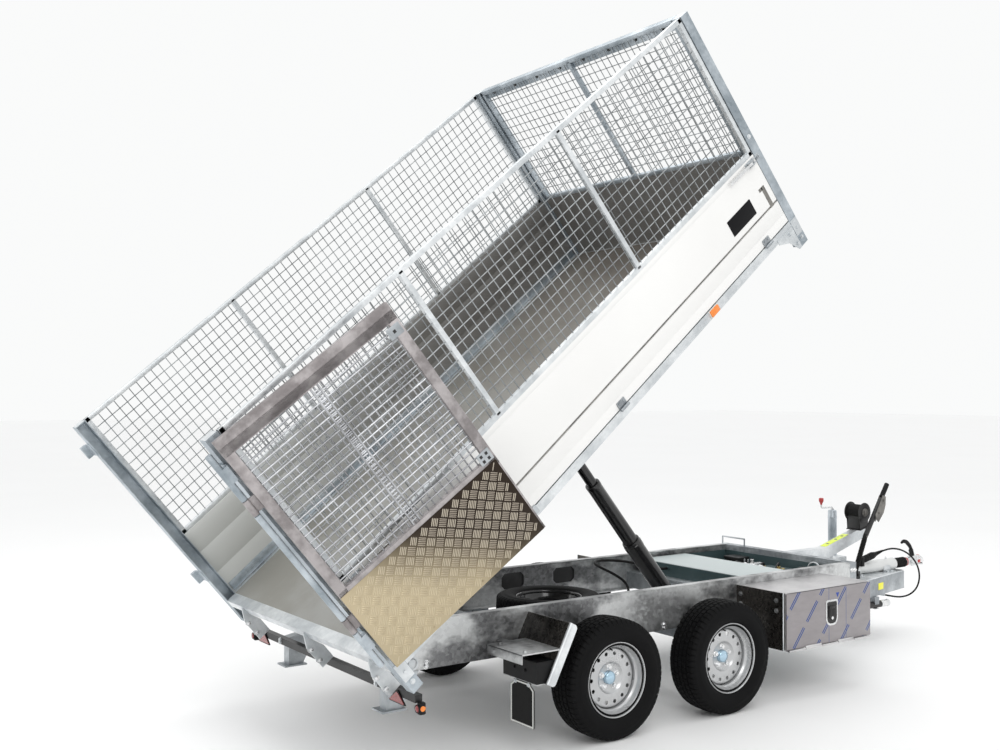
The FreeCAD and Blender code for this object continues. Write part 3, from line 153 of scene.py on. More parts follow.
def beam(start, end, width, height, up=Z, radius=0.002, steps=2):
    """A straight bar with a rounded rectangular section: width across, height along up."""
    start, end = np.asarray(start, float), np.asarray(end, float)
    across, rise, along = axes_along(end - start, up)
    a, b = rounded_box(width, height, radius, steps).T
    ring_ = a[:, None] * across + b[:, None] * rise
    ends = np.stack([start, start + along * radius * 0.6, end - along * radius * 0.6, end])
    scale = np.array([1 - 1.2 * radius / max(width, height), 1, 1, 1 - 1.2 * radius / max(width, height)])
    return surface(ends[:, None] + scale[:, None, None] * ring_, caps=True)


def block(low, high, radius=0.002):
    """An upright box between two corners, with rounded long edges."""
    low, high = np.asarray(low, float), np.asarray(high, float)
    mid = 0.5 * (low + high)
    size = high - low
    return beam((mid[0], mid[1], low[2]), (mid[0], mid[1], high[2]), size[0], size[1], Y,
                min(radius, 0.45 * min(size[:2])))


def rods(starts, ends, radius, sides=6):
    """Straight round wires, one for each pair of points, computed as one array."""
    starts, ends = np.asarray(starts, float), np.asarray(ends, float)
    along = unit(ends[0] - starts[0])
    across, up, _ = axes_along(along)
    a = np.linspace(0, 2 * np.pi, sides, endpoint=False)
    ring_ = radius * (np.cos(a)[:, None] * across + np.sin(a)[:, None] * up)
    points = np.stack([starts, ends], 1)[:, :, None] + ring_
    base = (np.arange(len(starts)) * 2 * sides)[:, None]
    j = np.arange(sides)
    n = (j + 1) % sides
    walls = np.stack([j, n, n + sides, j + sides], -1)[None] + base[:, :, None]
    ends_ = np.stack([j[::-1], j + sides])[None] + base[:, :, None]
    return points.reshape(-1, 3), walls.reshape(-1, 4).tolist() + ends_.reshape(-1, sides).tolist()


def bends(points, radius, steps=5):
    """A path of straight runs with rounded corners: each is a quadratic arc between its two cut-back points."""
    points = [np.asarray(p, float) for p in points]
    path = [points[0]]
    t = np.linspace(0, 1, steps + 1)[:, None]
    for before, corner, after in zip(points, points[1:], points[2:]):
        back, ahead = before - corner, after - corner
        cut = min(radius, 0.45 * np.linalg.norm(back), 0.45 * np.linalg.norm(ahead))
        first, last = corner + cut * unit(back), corner + cut * unit(ahead)
        path += list((1 - t) ** 2 * first + 2 * t * (1 - t) * corner + t ** 2 * last)
    return np.array(path + [points[-1]])


def tube(path, radius, sides=12, ends=True):
    """A round tube along a path, its section turned along from point to point without twist."""
    path = np.asarray(path, float)
    radius = np.broadcast_to(np.asarray(radius, float), len(path))
    along = np.gradient(path, axis=0)
    along /= np.linalg.norm(along, axis=1)[:, None]
    across = [axes_along(along[0])[0]]
    for t in along[1:]:
        across.append(unit(across[-1] - (across[-1] @ t) * t))
    across = np.array(across)
    up = np.cross(along, across)
    a = np.linspace(0, 2 * np.pi, sides, endpoint=False)
    ring_ = np.cos(a)[None, :, None] * across[:, None] + np.sin(a)[None, :, None] * up[:, None]
    return surface(path[:, None] + radius[:, None, None] * ring_, caps=ends)


def plate(outline, origin, right, up, thickness):
    """A flat outline of (right, up) points with a thickness along right × up."""
    a, b = np.asarray(outline, float).T
    right, up = np.asarray(right, float), np.asarray(up, float)
    face = np.asarray(origin, float) + a[:, None] * right + b[:, None] * up
    lift = np.cross(right, up) * thickness
    return surface(np.stack([face, face + lift]), caps=True)


def repeated(pattern, starts):
    """A pattern of (radius, offset) points set again from each start."""
    return [(r, start + offset) for start in starts for r, offset in pattern]


def dome(centre, axis, radius, height, sides=24, rings=5):
    """A flattened ball cap: radius·cos, height·sin."""
    t = np.linspace(0, np.pi / 2 * 0.96, rings)
    return turned(np.stack([radius * np.cos(t), height * np.sin(t)], -1), centre, axis, sides)


def bolt(at, axis, across=0.016, height=0.008, washer=True):
    """A hexagon head with a chamfered top on a round washer."""
    at, axis = np.asarray(at, float), unit(axis)
    r = across / math.sqrt(3)
    head = turned([(r, 0.002), (r, height - 0.001), (0.8 * r, height)], at, axis, 6)
    return join(head, turned([(1.35 * r, 0), (1.35 * r, 0.002)], at, axis, 18)) if washer else head


def join(*shapes):
    """Several shapes as one: points stacked, face numbers shifted."""
    points, faces, count = [], [], 0
    for p, f in shapes:
        points.append(p)
        faces += [[i + count for i in face] for face in f]
        count += len(p)
    return np.concatenate(points), faces


def flipped(shape):
    """The shape mirrored to the other side of the trailer."""
    return shape[0] * np.array([1, -1, 1]), [face[::-1] for face in shape[1]]


def piece(name, body, slot, *parts, bevel=0.0, sharp=35, stands_for=(), place=ground, close=False):
    """One named object from (shape or list of shapes, finish) pairs, with creases past an angle kept sharp."""
    mesh = bpy.data.meshes.new(name)
    points, faces, finishes = [], [], []
    count = 0
    for shape, finish in parts:
        shape = join(*shape) if isinstance(shape, list) else shape
        points.append(place(shape[0]))
        faces += [[i + count for i in face] for face in shape[1]]
        if finish not in mesh.materials[:]:
            mesh.materials.append(finish)
        finishes += [mesh.materials[:].index(finish)] * len(shape[1])
        count += len(shape[0])
    mesh.from_pydata(np.concatenate(points).tolist(), [], faces)
    mesh.polygons.foreach_set("material_index", finishes)
    work = bmesh.new()
    work.from_mesh(mesh)
    if close:
        bmesh.ops.remove_doubles(work, verts=work.verts, dist=1e-5)
    bmesh.ops.recalc_face_normals(work, faces=work.faces)
    work.to_mesh(mesh)
    work.free()
    mesh.polygons.foreach_set("use_smooth", [True] * len(mesh.polygons))
    mesh.set_sharp_from_angle(angle=math.radians(sharp))
    thing = bpy.data.objects.new(name, mesh)
    bpy.context.scene.collection.objects.link(thing)
    if bevel:
        edge = thing.modifiers.new("edges", "BEVEL")
        edge.width = bevel
        edge.segments = 2
        edge.limit_method = "ANGLE"
        edge.angle_limit = math.radians(sharp)
        edge.harden_normals = True
    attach(thing, body)
    if stands_for:
        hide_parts(*stands_for)
    return thing


# Finishes
class Socket:
    """A shader value; Python's operators on it add Math nodes to its material."""

    def __init__(self, finish, socket):
        self.finish, self.socket = finish, socket

    def __add__(self, other):
        return self.finish.sum("ADD", self, other)

    def __sub__(self, other):
        return self.finish.sum("SUBTRACT", self, other)

    def __rsub__(self, other):
        return self.finish.sum("SUBTRACT", other, self)

    def __mul__(self, other):
        return self.finish.sum("MULTIPLY", self, other)

    def __gt__(self, other):
        return self.finish.sum("GREATER_THAN", self, other)

    def __lt__(self, other):
        return self.finish.sum("LESS_THAN", self, other)

    __radd__ = __add__
    __rmul__ = __mul__


class Finish:
    """A procedural material with one Principled surface, patterned on Object coordinates."""

    def __init__(self, name, **surface_values):
        self.material = bpy.data.materials.new(name)
        self.material.use_nodes = True
        self.nodes = self.material.node_tree.nodes
        self.links = self.material.node_tree.links
        self.nodes.clear()
        self.shader = self.nodes.new("ShaderNodeBsdfPrincipled")
        output = self.nodes.new("ShaderNodeOutputMaterial")
        self.links.new(self.shader.outputs[0], output.inputs["Surface"])
        self.at = self.node("ShaderNodeTexCoord", {}, {}, "Object")
        self.set(**surface_values)

    def node(self, kind, settings, sockets, out=0):
        """Adds a node: its settings first, then the values or links of its sockets, and returns one output."""
        node = self.nodes.new(kind)
        for key, value in settings.items():
            if key == "stops":
                while len(node.color_ramp.elements) < len(value):
                    node.color_ramp.elements.new(0.5)
                for element, (place, colour) in zip(node.color_ramp.elements, value):
                    element.position, element.color = place, (*colour, 1)
            else:
                setattr(node, key, value)
        for key, value in sockets.items():
            if isinstance(value, Socket):
                self.links.new(value.socket, node.inputs[key])
            elif isinstance(value, tuple) and len(value) == 3 and node.inputs[key].type == "RGBA":
                node.inputs[key].default_value = (*value, 1)
            else:
                node.inputs[key].default_value = value
        return Socket(self, node.outputs[out])

    def sum(self, operation, a, b):
        """A Math node on two values."""
        return self.node("ShaderNodeMath", {"operation": operation}, {0: a, 1: b})

    def noise(self, scale, detail=3, stretch=(1, 1, 1), rough=0.5):
        """Cloudy noise from 0 to 1 at so many waves per metre, stretched along axes."""
        where = self.node("ShaderNodeMapping", {}, {"Vector": self.at, "Scale": stretch})
        return self.node("ShaderNodeTexNoise", {},
                         {"Vector": where, "Scale": scale, "Detail": detail, "Roughness": rough})

    def cells(self, scale, out="Distance", stretch=(1, 1, 1)):
        """Voronoi cells at so many a metre."""
        where = self.node("ShaderNodeMapping", {}, {"Vector": self.at, "Scale": stretch})
        return self.node("ShaderNodeTexVoronoi", {}, {"Vector": where, "Scale": scale}, out)

    def spread(self, value, low, high, to_low=0.0, to_high=1.0):
        """Value's range low..high stretched smoothly to another range."""
        return self.node("ShaderNodeMapRange", {"interpolation_type": "SMOOTHSTEP"},
                         {"Value": value, 1: low, 2: high, 3: to_low, 4: to_high})

    def mix(self, factor, a, b):
        """Colour a where factor is 0, b where it is 1."""
        return self.node("ShaderNodeMix", {"data_type": "RGBA"}, {0: factor, 6: a, 7: b}, 2)

    def axis(self, name):
        """One of the Object coordinates: X, Y or Z."""
        return self.node("ShaderNodeSeparateXYZ", {}, {"Vector": self.at}, name)

    def bump(self, height, distance, strength=1.0):
        """A normal that follows a height pattern."""
        return self.node("ShaderNodeBump", {}, {"Height": height, "Distance": distance, "Strength": strength})

    def set(self, **values):
        """Sets or links sockets of the Principled surface, named with underscores."""
        for key, value in values.items():
            socket = self.shader.inputs[key.replace("_", " ").title().replace("Ior", "IOR")]
            if isinstance(value, Socket):
                self.links.new(value.socket, socket)
            elif isinstance(value, tuple):
                socket.default_value = (*value, 1)
            else:
                socket.default_value = value
        return self


def zinc(name, dark, light, contrast=1.0, blotch=2.2, rough=0.34, tilt=(1, 1, 1)):
    """Hot-dip zinc: soft blotches, crystal spangles of about 15 mm and a fine grain."""
    f = Finish(name, metallic=0.85)
    cloud = f.spread(f.noise(blotch, 4, tilt, 0.62), 0.5 - 0.16 / contrast, 0.5 + 0.16 / contrast)
    spangle = f.cells(62, "Color")
    crystal = f.node("ShaderNodeSeparateColor", {}, {"Color": spangle}, "Red")
    grain = f.noise(240, 2)
    f.set(base_color=f.mix(cloud * 0.72 + crystal * 0.2 + grain * 0.14, dark, light),
          roughness=rough + 0.16 * crystal + 0.12 * grain,
          normal=f.bump(crystal * 0.5 + grain, 0.0003, 0.35))
    return f.material


def paint(name, colour, rough=0.4, metallic=0.0, coat=0.0, speckle=0.25, wear=(0.5, 0.5, 0.5)):
    """Painted or powder-coated metal: orange-peel bump, slight colour drift and dusty patches."""
    f = Finish(name, metallic=metallic, coat_weight=coat)
    drift = f.noise(7, 4)
    peel = f.noise(420, 2)
    dust = f.spread(f.noise(26, 5, rough=0.7), 0.56, 0.78)
    tone = f.mix(drift * speckle, colour, tuple(min(1, 1.35 * c + 0.01) for c in colour))
    f.set(base_color=f.mix(dust * 0.1, tone, wear), roughness=rough + 0.14 * (drift - 0.5) + 0.14 * dust,
          normal=f.bump(peel, 0.0002, 0.25))
    return f.material


def rubbery(name, colour, rough=0.62, grain=900, gloss=0.2):
    """Rubber or moulded plastic: fine pebbled grain and paler scuffs."""
    f = Finish(name, specular_ior_level=gloss)
    scuff = f.spread(f.noise(34, 6, rough=0.72), 0.5, 0.8)
    pebble = f.cells(grain)
    f.set(base_color=f.mix(scuff * 0.4, colour, tuple(1.6 * c + 0.008 for c in colour)),
          roughness=rough + 0.18 * scuff, normal=f.bump(pebble, 0.0003, 0.3))
    return f.material


GALV = zinc("galvanised", (0.20, 0.22, 0.24), (0.66, 0.69, 0.71))
GALV_RAIL = zinc("galvanised rail", (0.10, 0.10, 0.105), (0.70, 0.71, 0.71), 1.7, 3.0, 0.27, (1, 1, 1.6))
GALV_POST = zinc("galvanised post", (0.22, 0.26, 0.29), (0.60, 0.65, 0.69), 1.0, 3.0, 0.36)
GALV_DOOR = zinc("galvanised door", (0.22, 0.20, 0.20), (0.50, 0.47, 0.47), 1.2, 9.0, 0.44)
GALV_BRIGHT = zinc("bright zinc", (0.52, 0.55, 0.57), (0.86, 0.88, 0.89), 0.9, 5.0, 0.30)
WIRE_ZINC = zinc("wire zinc", (0.16, 0.17, 0.175), (0.44, 0.46, 0.47), 0.8, 6.0, 0.34)
DOOR_WIRE = zinc("door wire", (0.20, 0.20, 0.21), (0.60, 0.61, 0.63), 0.9, 6.0, 0.3)
CHROME = zinc("plated steel", (0.62, 0.63, 0.64), (0.90, 0.90, 0.90), 0.8, 12, 0.14)
SILVER = paint("wheel silver", (0.50, 0.505, 0.51), 0.28, 0.7, 0.3, 0.25)
BLACK_GLOSS = paint("black paint", (0.005, 0.005, 0.0055), 0.2, 0.0, 0.3, 0.3, (0.12, 0.12, 0.12))
BLACK_SATIN = paint("black satin", (0.010, 0.010, 0.0105), 0.42, 0.0, 0.0, 0.3, (0.14, 0.14, 0.14))
BLACK_PLASTIC = rubbery("black plastic", (0.008, 0.008, 0.0085), 0.45)
RUBBER = rubbery("rubber", (0.006, 0.006, 0.006), 0.6)
TYRE = rubbery("tyre rubber", (0.005, 0.005, 0.0053), 0.66, 700, 0.1)
TEAL = paint("tray paint", (0.050, 0.085, 0.090), 0.35, 0.1, 0.2, 0.5, (0.3, 0.35, 0.35))
COVER = paint("cover paint", (0.50, 0.56, 0.56), 0.45, 0.0, 0.1, 0.15)
RED_PLASTIC = paint("red plastic", (0.42, 0.03, 0.03), 0.35, 0.0, 0.3)
YELLOW = paint("yellow label", (0.90, 0.86, 0.03), 0.4, 0.0, 0.2, 0.05)
LIME = paint("lime label", (0.72, 0.86, 0.08), 0.4, 0.0, 0.2, 0.05)
PLATE_BLANK = rubbery("blank plate", (0.006, 0.006, 0.007), 0.5, 900, 0.12)
LIGHT_EDGE = paint("flap edging", (0.62, 0.63, 0.60), 0.5)
GREY_STEEL = zinc("grey steel", (0.12, 0.115, 0.11), (0.30, 0.29, 0.27), 1.0, 9.0, 0.4)
PALE_TUBE = paint("pale tube", (0.68, 0.69, 0.68), 0.34, 0.1, 0.3, 0.2, (0.5, 0.5, 0.48))
BRASS = zinc("brass", (0.55, 0.40, 0.14), (0.82, 0.66, 0.30), 0.8, 12, 0.22)
# The mudguard sheets are zinc coloured near black: painted shadow and dark reflection
GUARD_PAINTED_SHADOW = zinc("guard zinc with painted shadow and reflection", (0.010, 0.010, 0.010), (0.12, 0.11, 0.10), 1.3, 4.0, 0.16, (1, 1, 0.6))
BLUE_MARK = paint("blue mark", (0.02, 0.06, 0.32), 0.4)
CAP_BLUE = paint("hub cap", (0.42, 0.58, 0.70), 0.16, 0.75, 0.6)


def lens(name, colour):
    """A moulded lens: clear coat over small prisms."""
    f = Finish(name, roughness=0.16, coat_weight=0.8, coat_roughness=0.04)
    prism = f.cells(260)
    f.set(base_color=f.mix(prism * 0.8, colour, tuple(min(1, c * 1.9 + 0.03) for c in colour)),
          normal=f.bump(prism, 0.001, 0.5))
    return f.material


RED_LENS = lens("red lens", (0.16, 0.006, 0.005))
AMBER_LENS = lens("amber lens", (0.70, 0.15, 0.002))

# Middle planes of the side boards and of the front panel, in metres of the bed
BOARD_MID_Y, PANEL_MID_U = 0.9135, 3.205


def board():
    """Boards: nearly white outside with a faint lengthwise brushing, and inside grey with painted light: a painted
    reflection lighter at the rear and painted shade darker towards the front.
    Along the bed u = (X, Z) · (cos TILT, sin TILT) from its origin; inside is |Y| < BOARD_MID_Y, u < PANEL_MID_U."""
    f = Finish("aluminium boards", metallic=0.25, coat_weight=0.15)
    start = bed((0, 0, 0))
    u = (f.axis("X") - float(start[0])) * math.cos(TILT) + (f.axis("Z") - float(start[2])) * math.sin(TILT)
    # The inside faces get painted light: a pale painted reflection at the rear fading to dark painted shade at the
    # front
    inside = (f.sum("ABSOLUTE", f.axis("Y"), 0) < BOARD_MID_Y) * (u < PANEL_MID_U)
    shade = f.mix(f.spread(u, 0.0, 2.3), (0.50, 0.51, 0.49), (0.105, 0.098, 0.09))
    brush = f.noise(40, 3, (0.2, 1, 14))
    cloud = f.noise(1.3, 3)
    outside = f.mix(cloud * 0.7 + brush * 0.2, (0.76, 0.755, 0.74), (0.90, 0.895, 0.88))
    f.set(base_color=f.mix(inside, outside, f.mix(brush * 0.25, shade, (0.6, 0.6, 0.58))),
          roughness=0.34 + 0.1 * brush, normal=f.bump(brush, 0.0002, 0.12))
    return f.material


def tread(name, near, far, origin, across, up):
    """Rolled aluminium plate, coloured with a painted reflection: warm and light near the hinge and darker away from
    it.
    The painted reflection follows s = (across + up) · (p - origin), in metres, with some noise."""
    f = Finish(name, metallic=0.75)
    way = np.asarray(across) + np.asarray(up)
    s = f.axis("X") * float(way[0]) + f.axis("Y") * float(way[1]) + f.axis("Z") * float(way[2]) - float(way @ origin)
    grain = f.noise(180, 3)
    f.set(base_color=f.mix(f.spread(s + f.noise(5, 4) * 0.16, 0.46, 0.94), near, far), roughness=0.3 + 0.14 * grain,
          normal=f.bump(grain, 0.0003, 0.3))
    return f.material


def floor_board():
    """Resin-coated plywood: dark brown-grey, with a fine mesh print and scuffs, and a painted reflection that makes
    it lighter and greyer towards the rear, so that it is darker and browner to the front.
    """
    f = Finish("floor board", coat_weight=0.08)
    cloud = f.spread(f.noise(2.0, 5, rough=0.6), 0.35, 0.7)
    # Painted reflection: the colour fades from pale grey near the rear to dark brown towards the front
    painted_reflection_fade = f.spread(f.axis("X"), -4.6, -2.2)
    grain = f.noise(300, 3)
    near = f.mix(cloud, (0.235, 0.23, 0.205), (0.30, 0.30, 0.285))
    far = f.mix(cloud, (0.115, 0.10, 0.085), (0.165, 0.15, 0.13))
    scuff = f.spread(f.noise(55, 6, (1, 0.15, 1), 0.7), 0.62, 0.8)
    f.set(base_color=f.mix(scuff * 0.18 + grain * 0.06, f.mix(painted_reflection_fade, near, far), (0.5, 0.48, 0.45)),
          roughness=0.5 + 0.2 * grain, normal=f.bump(grain + scuff, 0.0003, 0.3))
    return f.material


def film():
    """Stainless sheet under lilac film: diagonal blue strokes in rows and two thin upright lines.
    Rows repeat each 0.2 m of x - 0.82·z, strokes each 0.2 m of z + 0.6·x, and the lines are at x -2.074, -1.926."""
    f = Finish("filmed stainless", metallic=0.3, coat_weight=0.15, coat_roughness=0.12)
    x, z = f.axis("X"), f.axis("Z")
    slant = x - 0.82 * z
    row = f.sum("PINGPONG", slant + 5.04, 0.1)
    stroke = f.sum("PINGPONG", z + 0.6 * x + 5.0, 0.1)
    inside = (row < 0.0120) * (1.0 - (row < 0.0045) * 0.85) * (stroke > 0.022)
    lines = (f.sum("ABSOLUTE", x + 2.074, 0) < 0.0015) + (f.sum("ABSOLUTE", x + 1.926, 0) < 0.0015)
    ripple = f.noise(14, 4, (1, 1, 2.5))
    grain = f.noise(160, 2)
    base = f.mix(ripple, (0.25, 0.232, 0.238), (0.33, 0.308, 0.315))
    f.set(base_color=f.mix(inside, f.mix(lines * 0.9, base, (0.01, 0.05, 0.24)), (0.0, 0.045, 0.24)),
          roughness=0.30 + 0.1 * grain, normal=f.bump(ripple, 0.002, 0.25))
    return f.material


BOARD, FLOOR, FILM = board(), floor_board(), film()
STAINLESS = zinc("stainless", (0.50, 0.49, 0.50), (0.72, 0.71, 0.71), 0.7, 5, 0.24)


# Stage, camera and lamps
def stage():
    """A wide pale floor, a white studio world, which camera and mirror rays see as a pale grey, and area lamps."""
    floor = bpy.data.meshes.new("floor")
    r = 60.0
    floor.from_pydata([(x, y, -BALL[2]) for x, y in ((-r, -r), (r, -r), (r, r), (-r, r))], [], [(0, 1, 2, 3)])
    f = Finish("studio floor", roughness=0.75)
    f.set(base_color=f.mix(f.noise(0.5, 2), (0.905, 0.905, 0.90), (0.93, 0.93, 0.925)))
    floor.materials.append(f.material)
    ground_ = bpy.data.objects.new("floor", floor)
    bpy.context.scene.collection.objects.link(ground_)
    ground_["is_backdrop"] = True

    world = bpy.data.worlds.new("studio")
    bpy.context.scene.world = world
    world.use_nodes = True
    nodes, links = world.node_tree.nodes, world.node_tree.links
    nodes.clear()
    path = nodes.new("ShaderNodeLightPath")
    seen = nodes.new("ShaderNodeMath")
    seen.operation = "MAXIMUM"
    links.new(path.outputs["Is Camera Ray"], seen.inputs[0])
    links.new(path.outputs["Is Glossy Ray"], seen.inputs[1])
    lit, shown, out = (nodes.new(f"ShaderNode{kind}") for kind in ("Background", "Background", "OutputWorld"))
    lit.inputs["Color"].default_value, lit.inputs["Strength"].default_value = (0.975, 0.98, 0.985, 1), 1.03
    shown.inputs["Color"].default_value, shown.inputs["Strength"].default_value = (0.955, 0.962, 0.96, 1), 1.0
    mix = nodes.new("ShaderNodeMixShader")
    links.new(seen.outputs[0], mix.inputs[0])
    links.new(lit.outputs[0], mix.inputs[1])
    links.new(shown.outputs[0], mix.inputs[2])
    links.new(mix.outputs[0], out.inputs["Surface"])

    # name, place from the ground, aimed at, width, height, watts
    for name, at, aim, width, height, power in (
        ("key", (-3.5, -6.0, 5.5), (0, 0, 0.8), 4.5, 3.0, 130),
        ("top", (0.5, 0.5, 6.5), (0, 0, 0.8), 6.0, 5.0, 110),
        ("rear side", (-6.0, 4.5, 3.5), (0, 0, 0.8), 3.0, 3.0, 40),
    ):
        lamp = bpy.data.lights.new(name, "AREA")
        lamp.shape, lamp.size, lamp.size_y, lamp.energy = "RECTANGLE", width, height, power
        thing = bpy.data.objects.new(name, lamp)
        bpy.context.scene.collection.objects.link(thing)
        aim_at(thing, ground(at), ground(aim) - ground(at))


def aim_at(thing, place, direction):
    """Puts a camera or lamp at a place, its -Z along a direction and its top up."""
    across, up, along = axes_along(-np.asarray(direction, float))
    rotation = np.eye(4)
    rotation[:3, :3] = np.stack([across, up, along], 1)
    rotation[:3, 3] = place
    thing.matrix_world = Matrix(rotation.tolist())


# The photograph's view, fitted to the trailer's edges: place, heading from +Y, upward pitch, and focal length in
# picture widths
CAMERA_AT = ground((-4.028, -5.049, 1.702))
HEADING, PITCH, FOCAL = 0.611, 0.011, 1.1391


def camera():
    """The camera of the photograph's view."""
    lens_ = bpy.data.cameras.new("camera")
    lens_.sensor_width, lens_.lens, lens_.shift_y = 36, 36 * FOCAL, 0.0017
    lens_.clip_end = 200
    thing = bpy.data.objects.new("camera", lens_)
    bpy.context.scene.collection.objects.link(thing)
    bpy.context.scene.camera = thing
    aim_at(thing, CAMERA_AT, (math.sin(HEADING) * math.cos(PITCH), math.cos(HEADING) * math.cos(PITCH),
                              math.sin(PITCH)))


stage()
camera()
bpy.context.scene.view_settings.view_transform = "Standard"


# Cords: their routes are the CAD's, in metres from the ground
CABLE = ((2.702, -0.088, 0.276), (2.790, -0.089, 0.256), (2.888, -0.091, 0.240), (2.990, -0.093, 0.247),
         (3.070, -0.095, 0.288), (3.101, -0.096, 0.362), (3.078, -0.095, 0.446), (3.008, -0.092, 0.520),
         (2.912, -0.087, 0.569), (2.806, -0.080, 0.590), (2.706, -0.072, 0.578))
HOSE = ((0.830, 0.102, 0.352), (0.830, 0.212, 0.352), (0.748, 0.284, 0.392), (0.656, 0.256, 0.436),
        (0.590, 0.186, 0.494), (0.516, 0.138, 0.552), (0.432, 0.148, 0.604), (0.390, 0.216, 0.634),
        (0.412, 0.300, 0.648), (0.488, 0.346, 0.650), (0.584, 0.342, 0.644), (0.686, 0.316, 0.632),
        (0.782, 0.276, 0.606), (0.868, 0.240, 0.574), (0.960, 0.240, 0.574))


def spline(name, route, radius):
    """A smooth round curve whose control points are a route's points."""
    curve = bpy.data.curves.new(name, "CURVE")
    curve.dimensions = "3D"
    line = curve.splines.new("NURBS")
    line.points.add(len(route) - 1)
    for point, place in zip(line.points, ground(route)):
        point.co = (*place, 1)
    line.order_u = 3
    line.use_endpoint_u = True
    line.resolution_u = 12
    curve.bevel_depth = radius
    curve.bevel_resolution = 4
    curve.use_fill_caps = True
    curve.materials.append(RUBBER)
    thing = bpy.data.objects.new(name, curve)
    bpy.context.scene.collection.objects.link(thing)
    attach(thing, "chassis")
    return thing


PLUG_TIP, PLUG_START = np.array([2.545, -0.036, 0.526]), np.array(CABLE[-1])
PLUG_WAY = unit(PLUG_TIP - CABLE[-1])
cable = spline("trailer_cable_curve", (*CABLE, CABLE[-1] + 0.030 * PLUG_WAY), 0.006)
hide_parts("trailer_cable")
hose = spline("cylinder_hose_curve", HOSE, 0.008)
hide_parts("cylinder_hose")

ribs = []
for k in range(6):
    s, r = 0.004 + 0.010 * k, 0.0082 + 0.0012 * k
    ribs += [(r - 0.0016, s), (r, s + 0.001), (r, s + 0.005), (r - 0.0016, s + 0.006)]
PLUG_BODY = [(0.0066, -0.004)] + ribs + [(0.0170, 0.068), (0.0190, 0.072), (0.0190, 0.080), (0.0225, 0.084),
                                         (0.0235, 0.090), (0.0235, 0.126), (0.0215, 0.129), (0.0215, 0.133),
                                         (0.0238, 0.136), (0.0238, 0.166), (0.0215, 0.172), (0.0130, 0.172)]
across, up, along = axes_along(PLUG_WAY)
fins = []
for k in range(14):
    a = 2 * np.pi * k / 14
    out = np.cos(a) * across + np.sin(a) * up
    fins.append(beam(PLUG_START + 0.0225 * out + 0.092 * along, PLUG_START + 0.0225 * out + 0.124 * along,
                     0.004, 0.004, out, 0.001))
plug = piece("cable_plug_body", "chassis", "black_plastic",
             (turned(PLUG_BODY, CABLE[-1], PLUG_WAY, 40), BLACK_PLASTIC), (fins, BLACK_PLASTIC),
             stands_for=["cable_plug"])
ground(CABLE[0])
ground(HOSE[0])


# Wheels
TYRE_R, WHEEL_Y, AXLE_X = 0.2945, 0.77, 0.39
PITCHES, SECTORS = 60, 14


def tyre_shape(centre, outward):
    """A carcass outline turned about the axle, whose tread drops by a sipe's depth in one row of each pitch."""
    crown = lambda s: TYRE_R - 0.0035 * (s / 0.074) ** 2
    # radius, offset from the middle, sipe depth, which half of the pitch the sipe is in
    side = [(0.165, 0.070, 0, 0), (0.1822, 0.0702, 0, 0), (0.1895, 0.0815, 0, 0), (0.196, 0.0845, 0, 0),
            (0.199, 0.0868, 0, 0), (0.215, 0.0905, 0, 0), (0.232, 0.0925, 0, 0), (0.246, 0.0923, 0, 0),
            (0.249, 0.0905, 0, 0), (0.262, 0.0895, 0, 0), (0.270, 0.0885, 0.002, 1), (0.281, 0.0830, 0.006, 1),
            (0.2885, 0.0770, 0.006, 1), (crown(0.071), 0.0710, 0.006, 1)]
    tread = []
    for s, low, phase in ((0.0580, 0, 1), (0.0475, 0, 1), (0.0463, 1, 0), (0.0407, 1, 0), (0.0395, 0, 0),
                          (0.0285, 0, 0), (0.0175, 0, 0), (0.0163, 1, 0), (0.0107, 1, 0), (0.0095, 0, 1),
                          (0.0, 0, 1)):
        tread.append((crown(s) - 0.0065 * low, s, 0 if low else 0.005, phase))
    half = side + tread
    columns = np.array([(r, -s, d, p) for r, s, d, p in half] + [(r, s, d, 1 - p) for r, s, d, p in half[-2::-1]])
    fractions = np.array([0, 0.09, 0.40, 0.5, 0.59, 0.90])
    angle = (np.arange(PITCHES)[:, None] + fractions).ravel() * 2 * np.pi / PITCHES
    row = np.tile(np.arange(6), PITCHES)
    cut = np.where(columns[:, 3] > 0.5, (row == 3)[:, None], (row == 0)[:, None])
    radius = columns[:, 0] - columns[:, 2] * cut
    skew = 0.35 * columns[:, 1]
    turn = angle[:, None] + skew
    across, up, along = axes_along(outward)
    grid = (np.asarray(centre) + columns[:, 1, None] * along
            + radius[..., None] * (np.cos(turn)[..., None] * across + np.sin(turn)[..., None] * up))
    return surface(grid, (True, True))


def holed_ring(centre, axis, inner, outer, offset, thickness, hole_r):
    """A flat ring of equal sectors with a round hole in each: skins between every sector's edge and its circle,
    front and back, and the wall of the hole between them."""
    across, up, along = axes_along(axis)
    half = np.pi / SECTORS
    t = np.linspace(-half, half, 7)
    mid = (inner + outer) / 2
    rim_ = [(inner, a) for a in t] + [(mid, half)] + [(outer, a) for a in t[::-1]] + [(mid, -half)]
    r, a = np.array(rim_).T
    edge = np.stack([r * np.cos(a), r * np.sin(a)], -1)
    middle = np.array([mid, 0])
    spoke = edge - middle
    circle = middle + hole_r * spoke / np.linalg.norm(spoke, axis=1)[:, None]
    loops = np.stack([edge, circle, circle, edge])
    height = np.array([offset, offset, offset - thickness, offset - thickness])
    shapes = []
    for k in range(SECTORS):
        c, s = np.cos(2 * half * k), np.sin(2 * half * k)
        x, y = loops[..., 0] * c - loops[..., 1] * s, loops[..., 0] * s + loops[..., 1] * c
        grid = np.asarray(centre) + x[..., None] * across + y[..., None] * up + height[:, None, None] * along
        shapes.append(surface(grid, (True, True)))
    return join(*shapes)


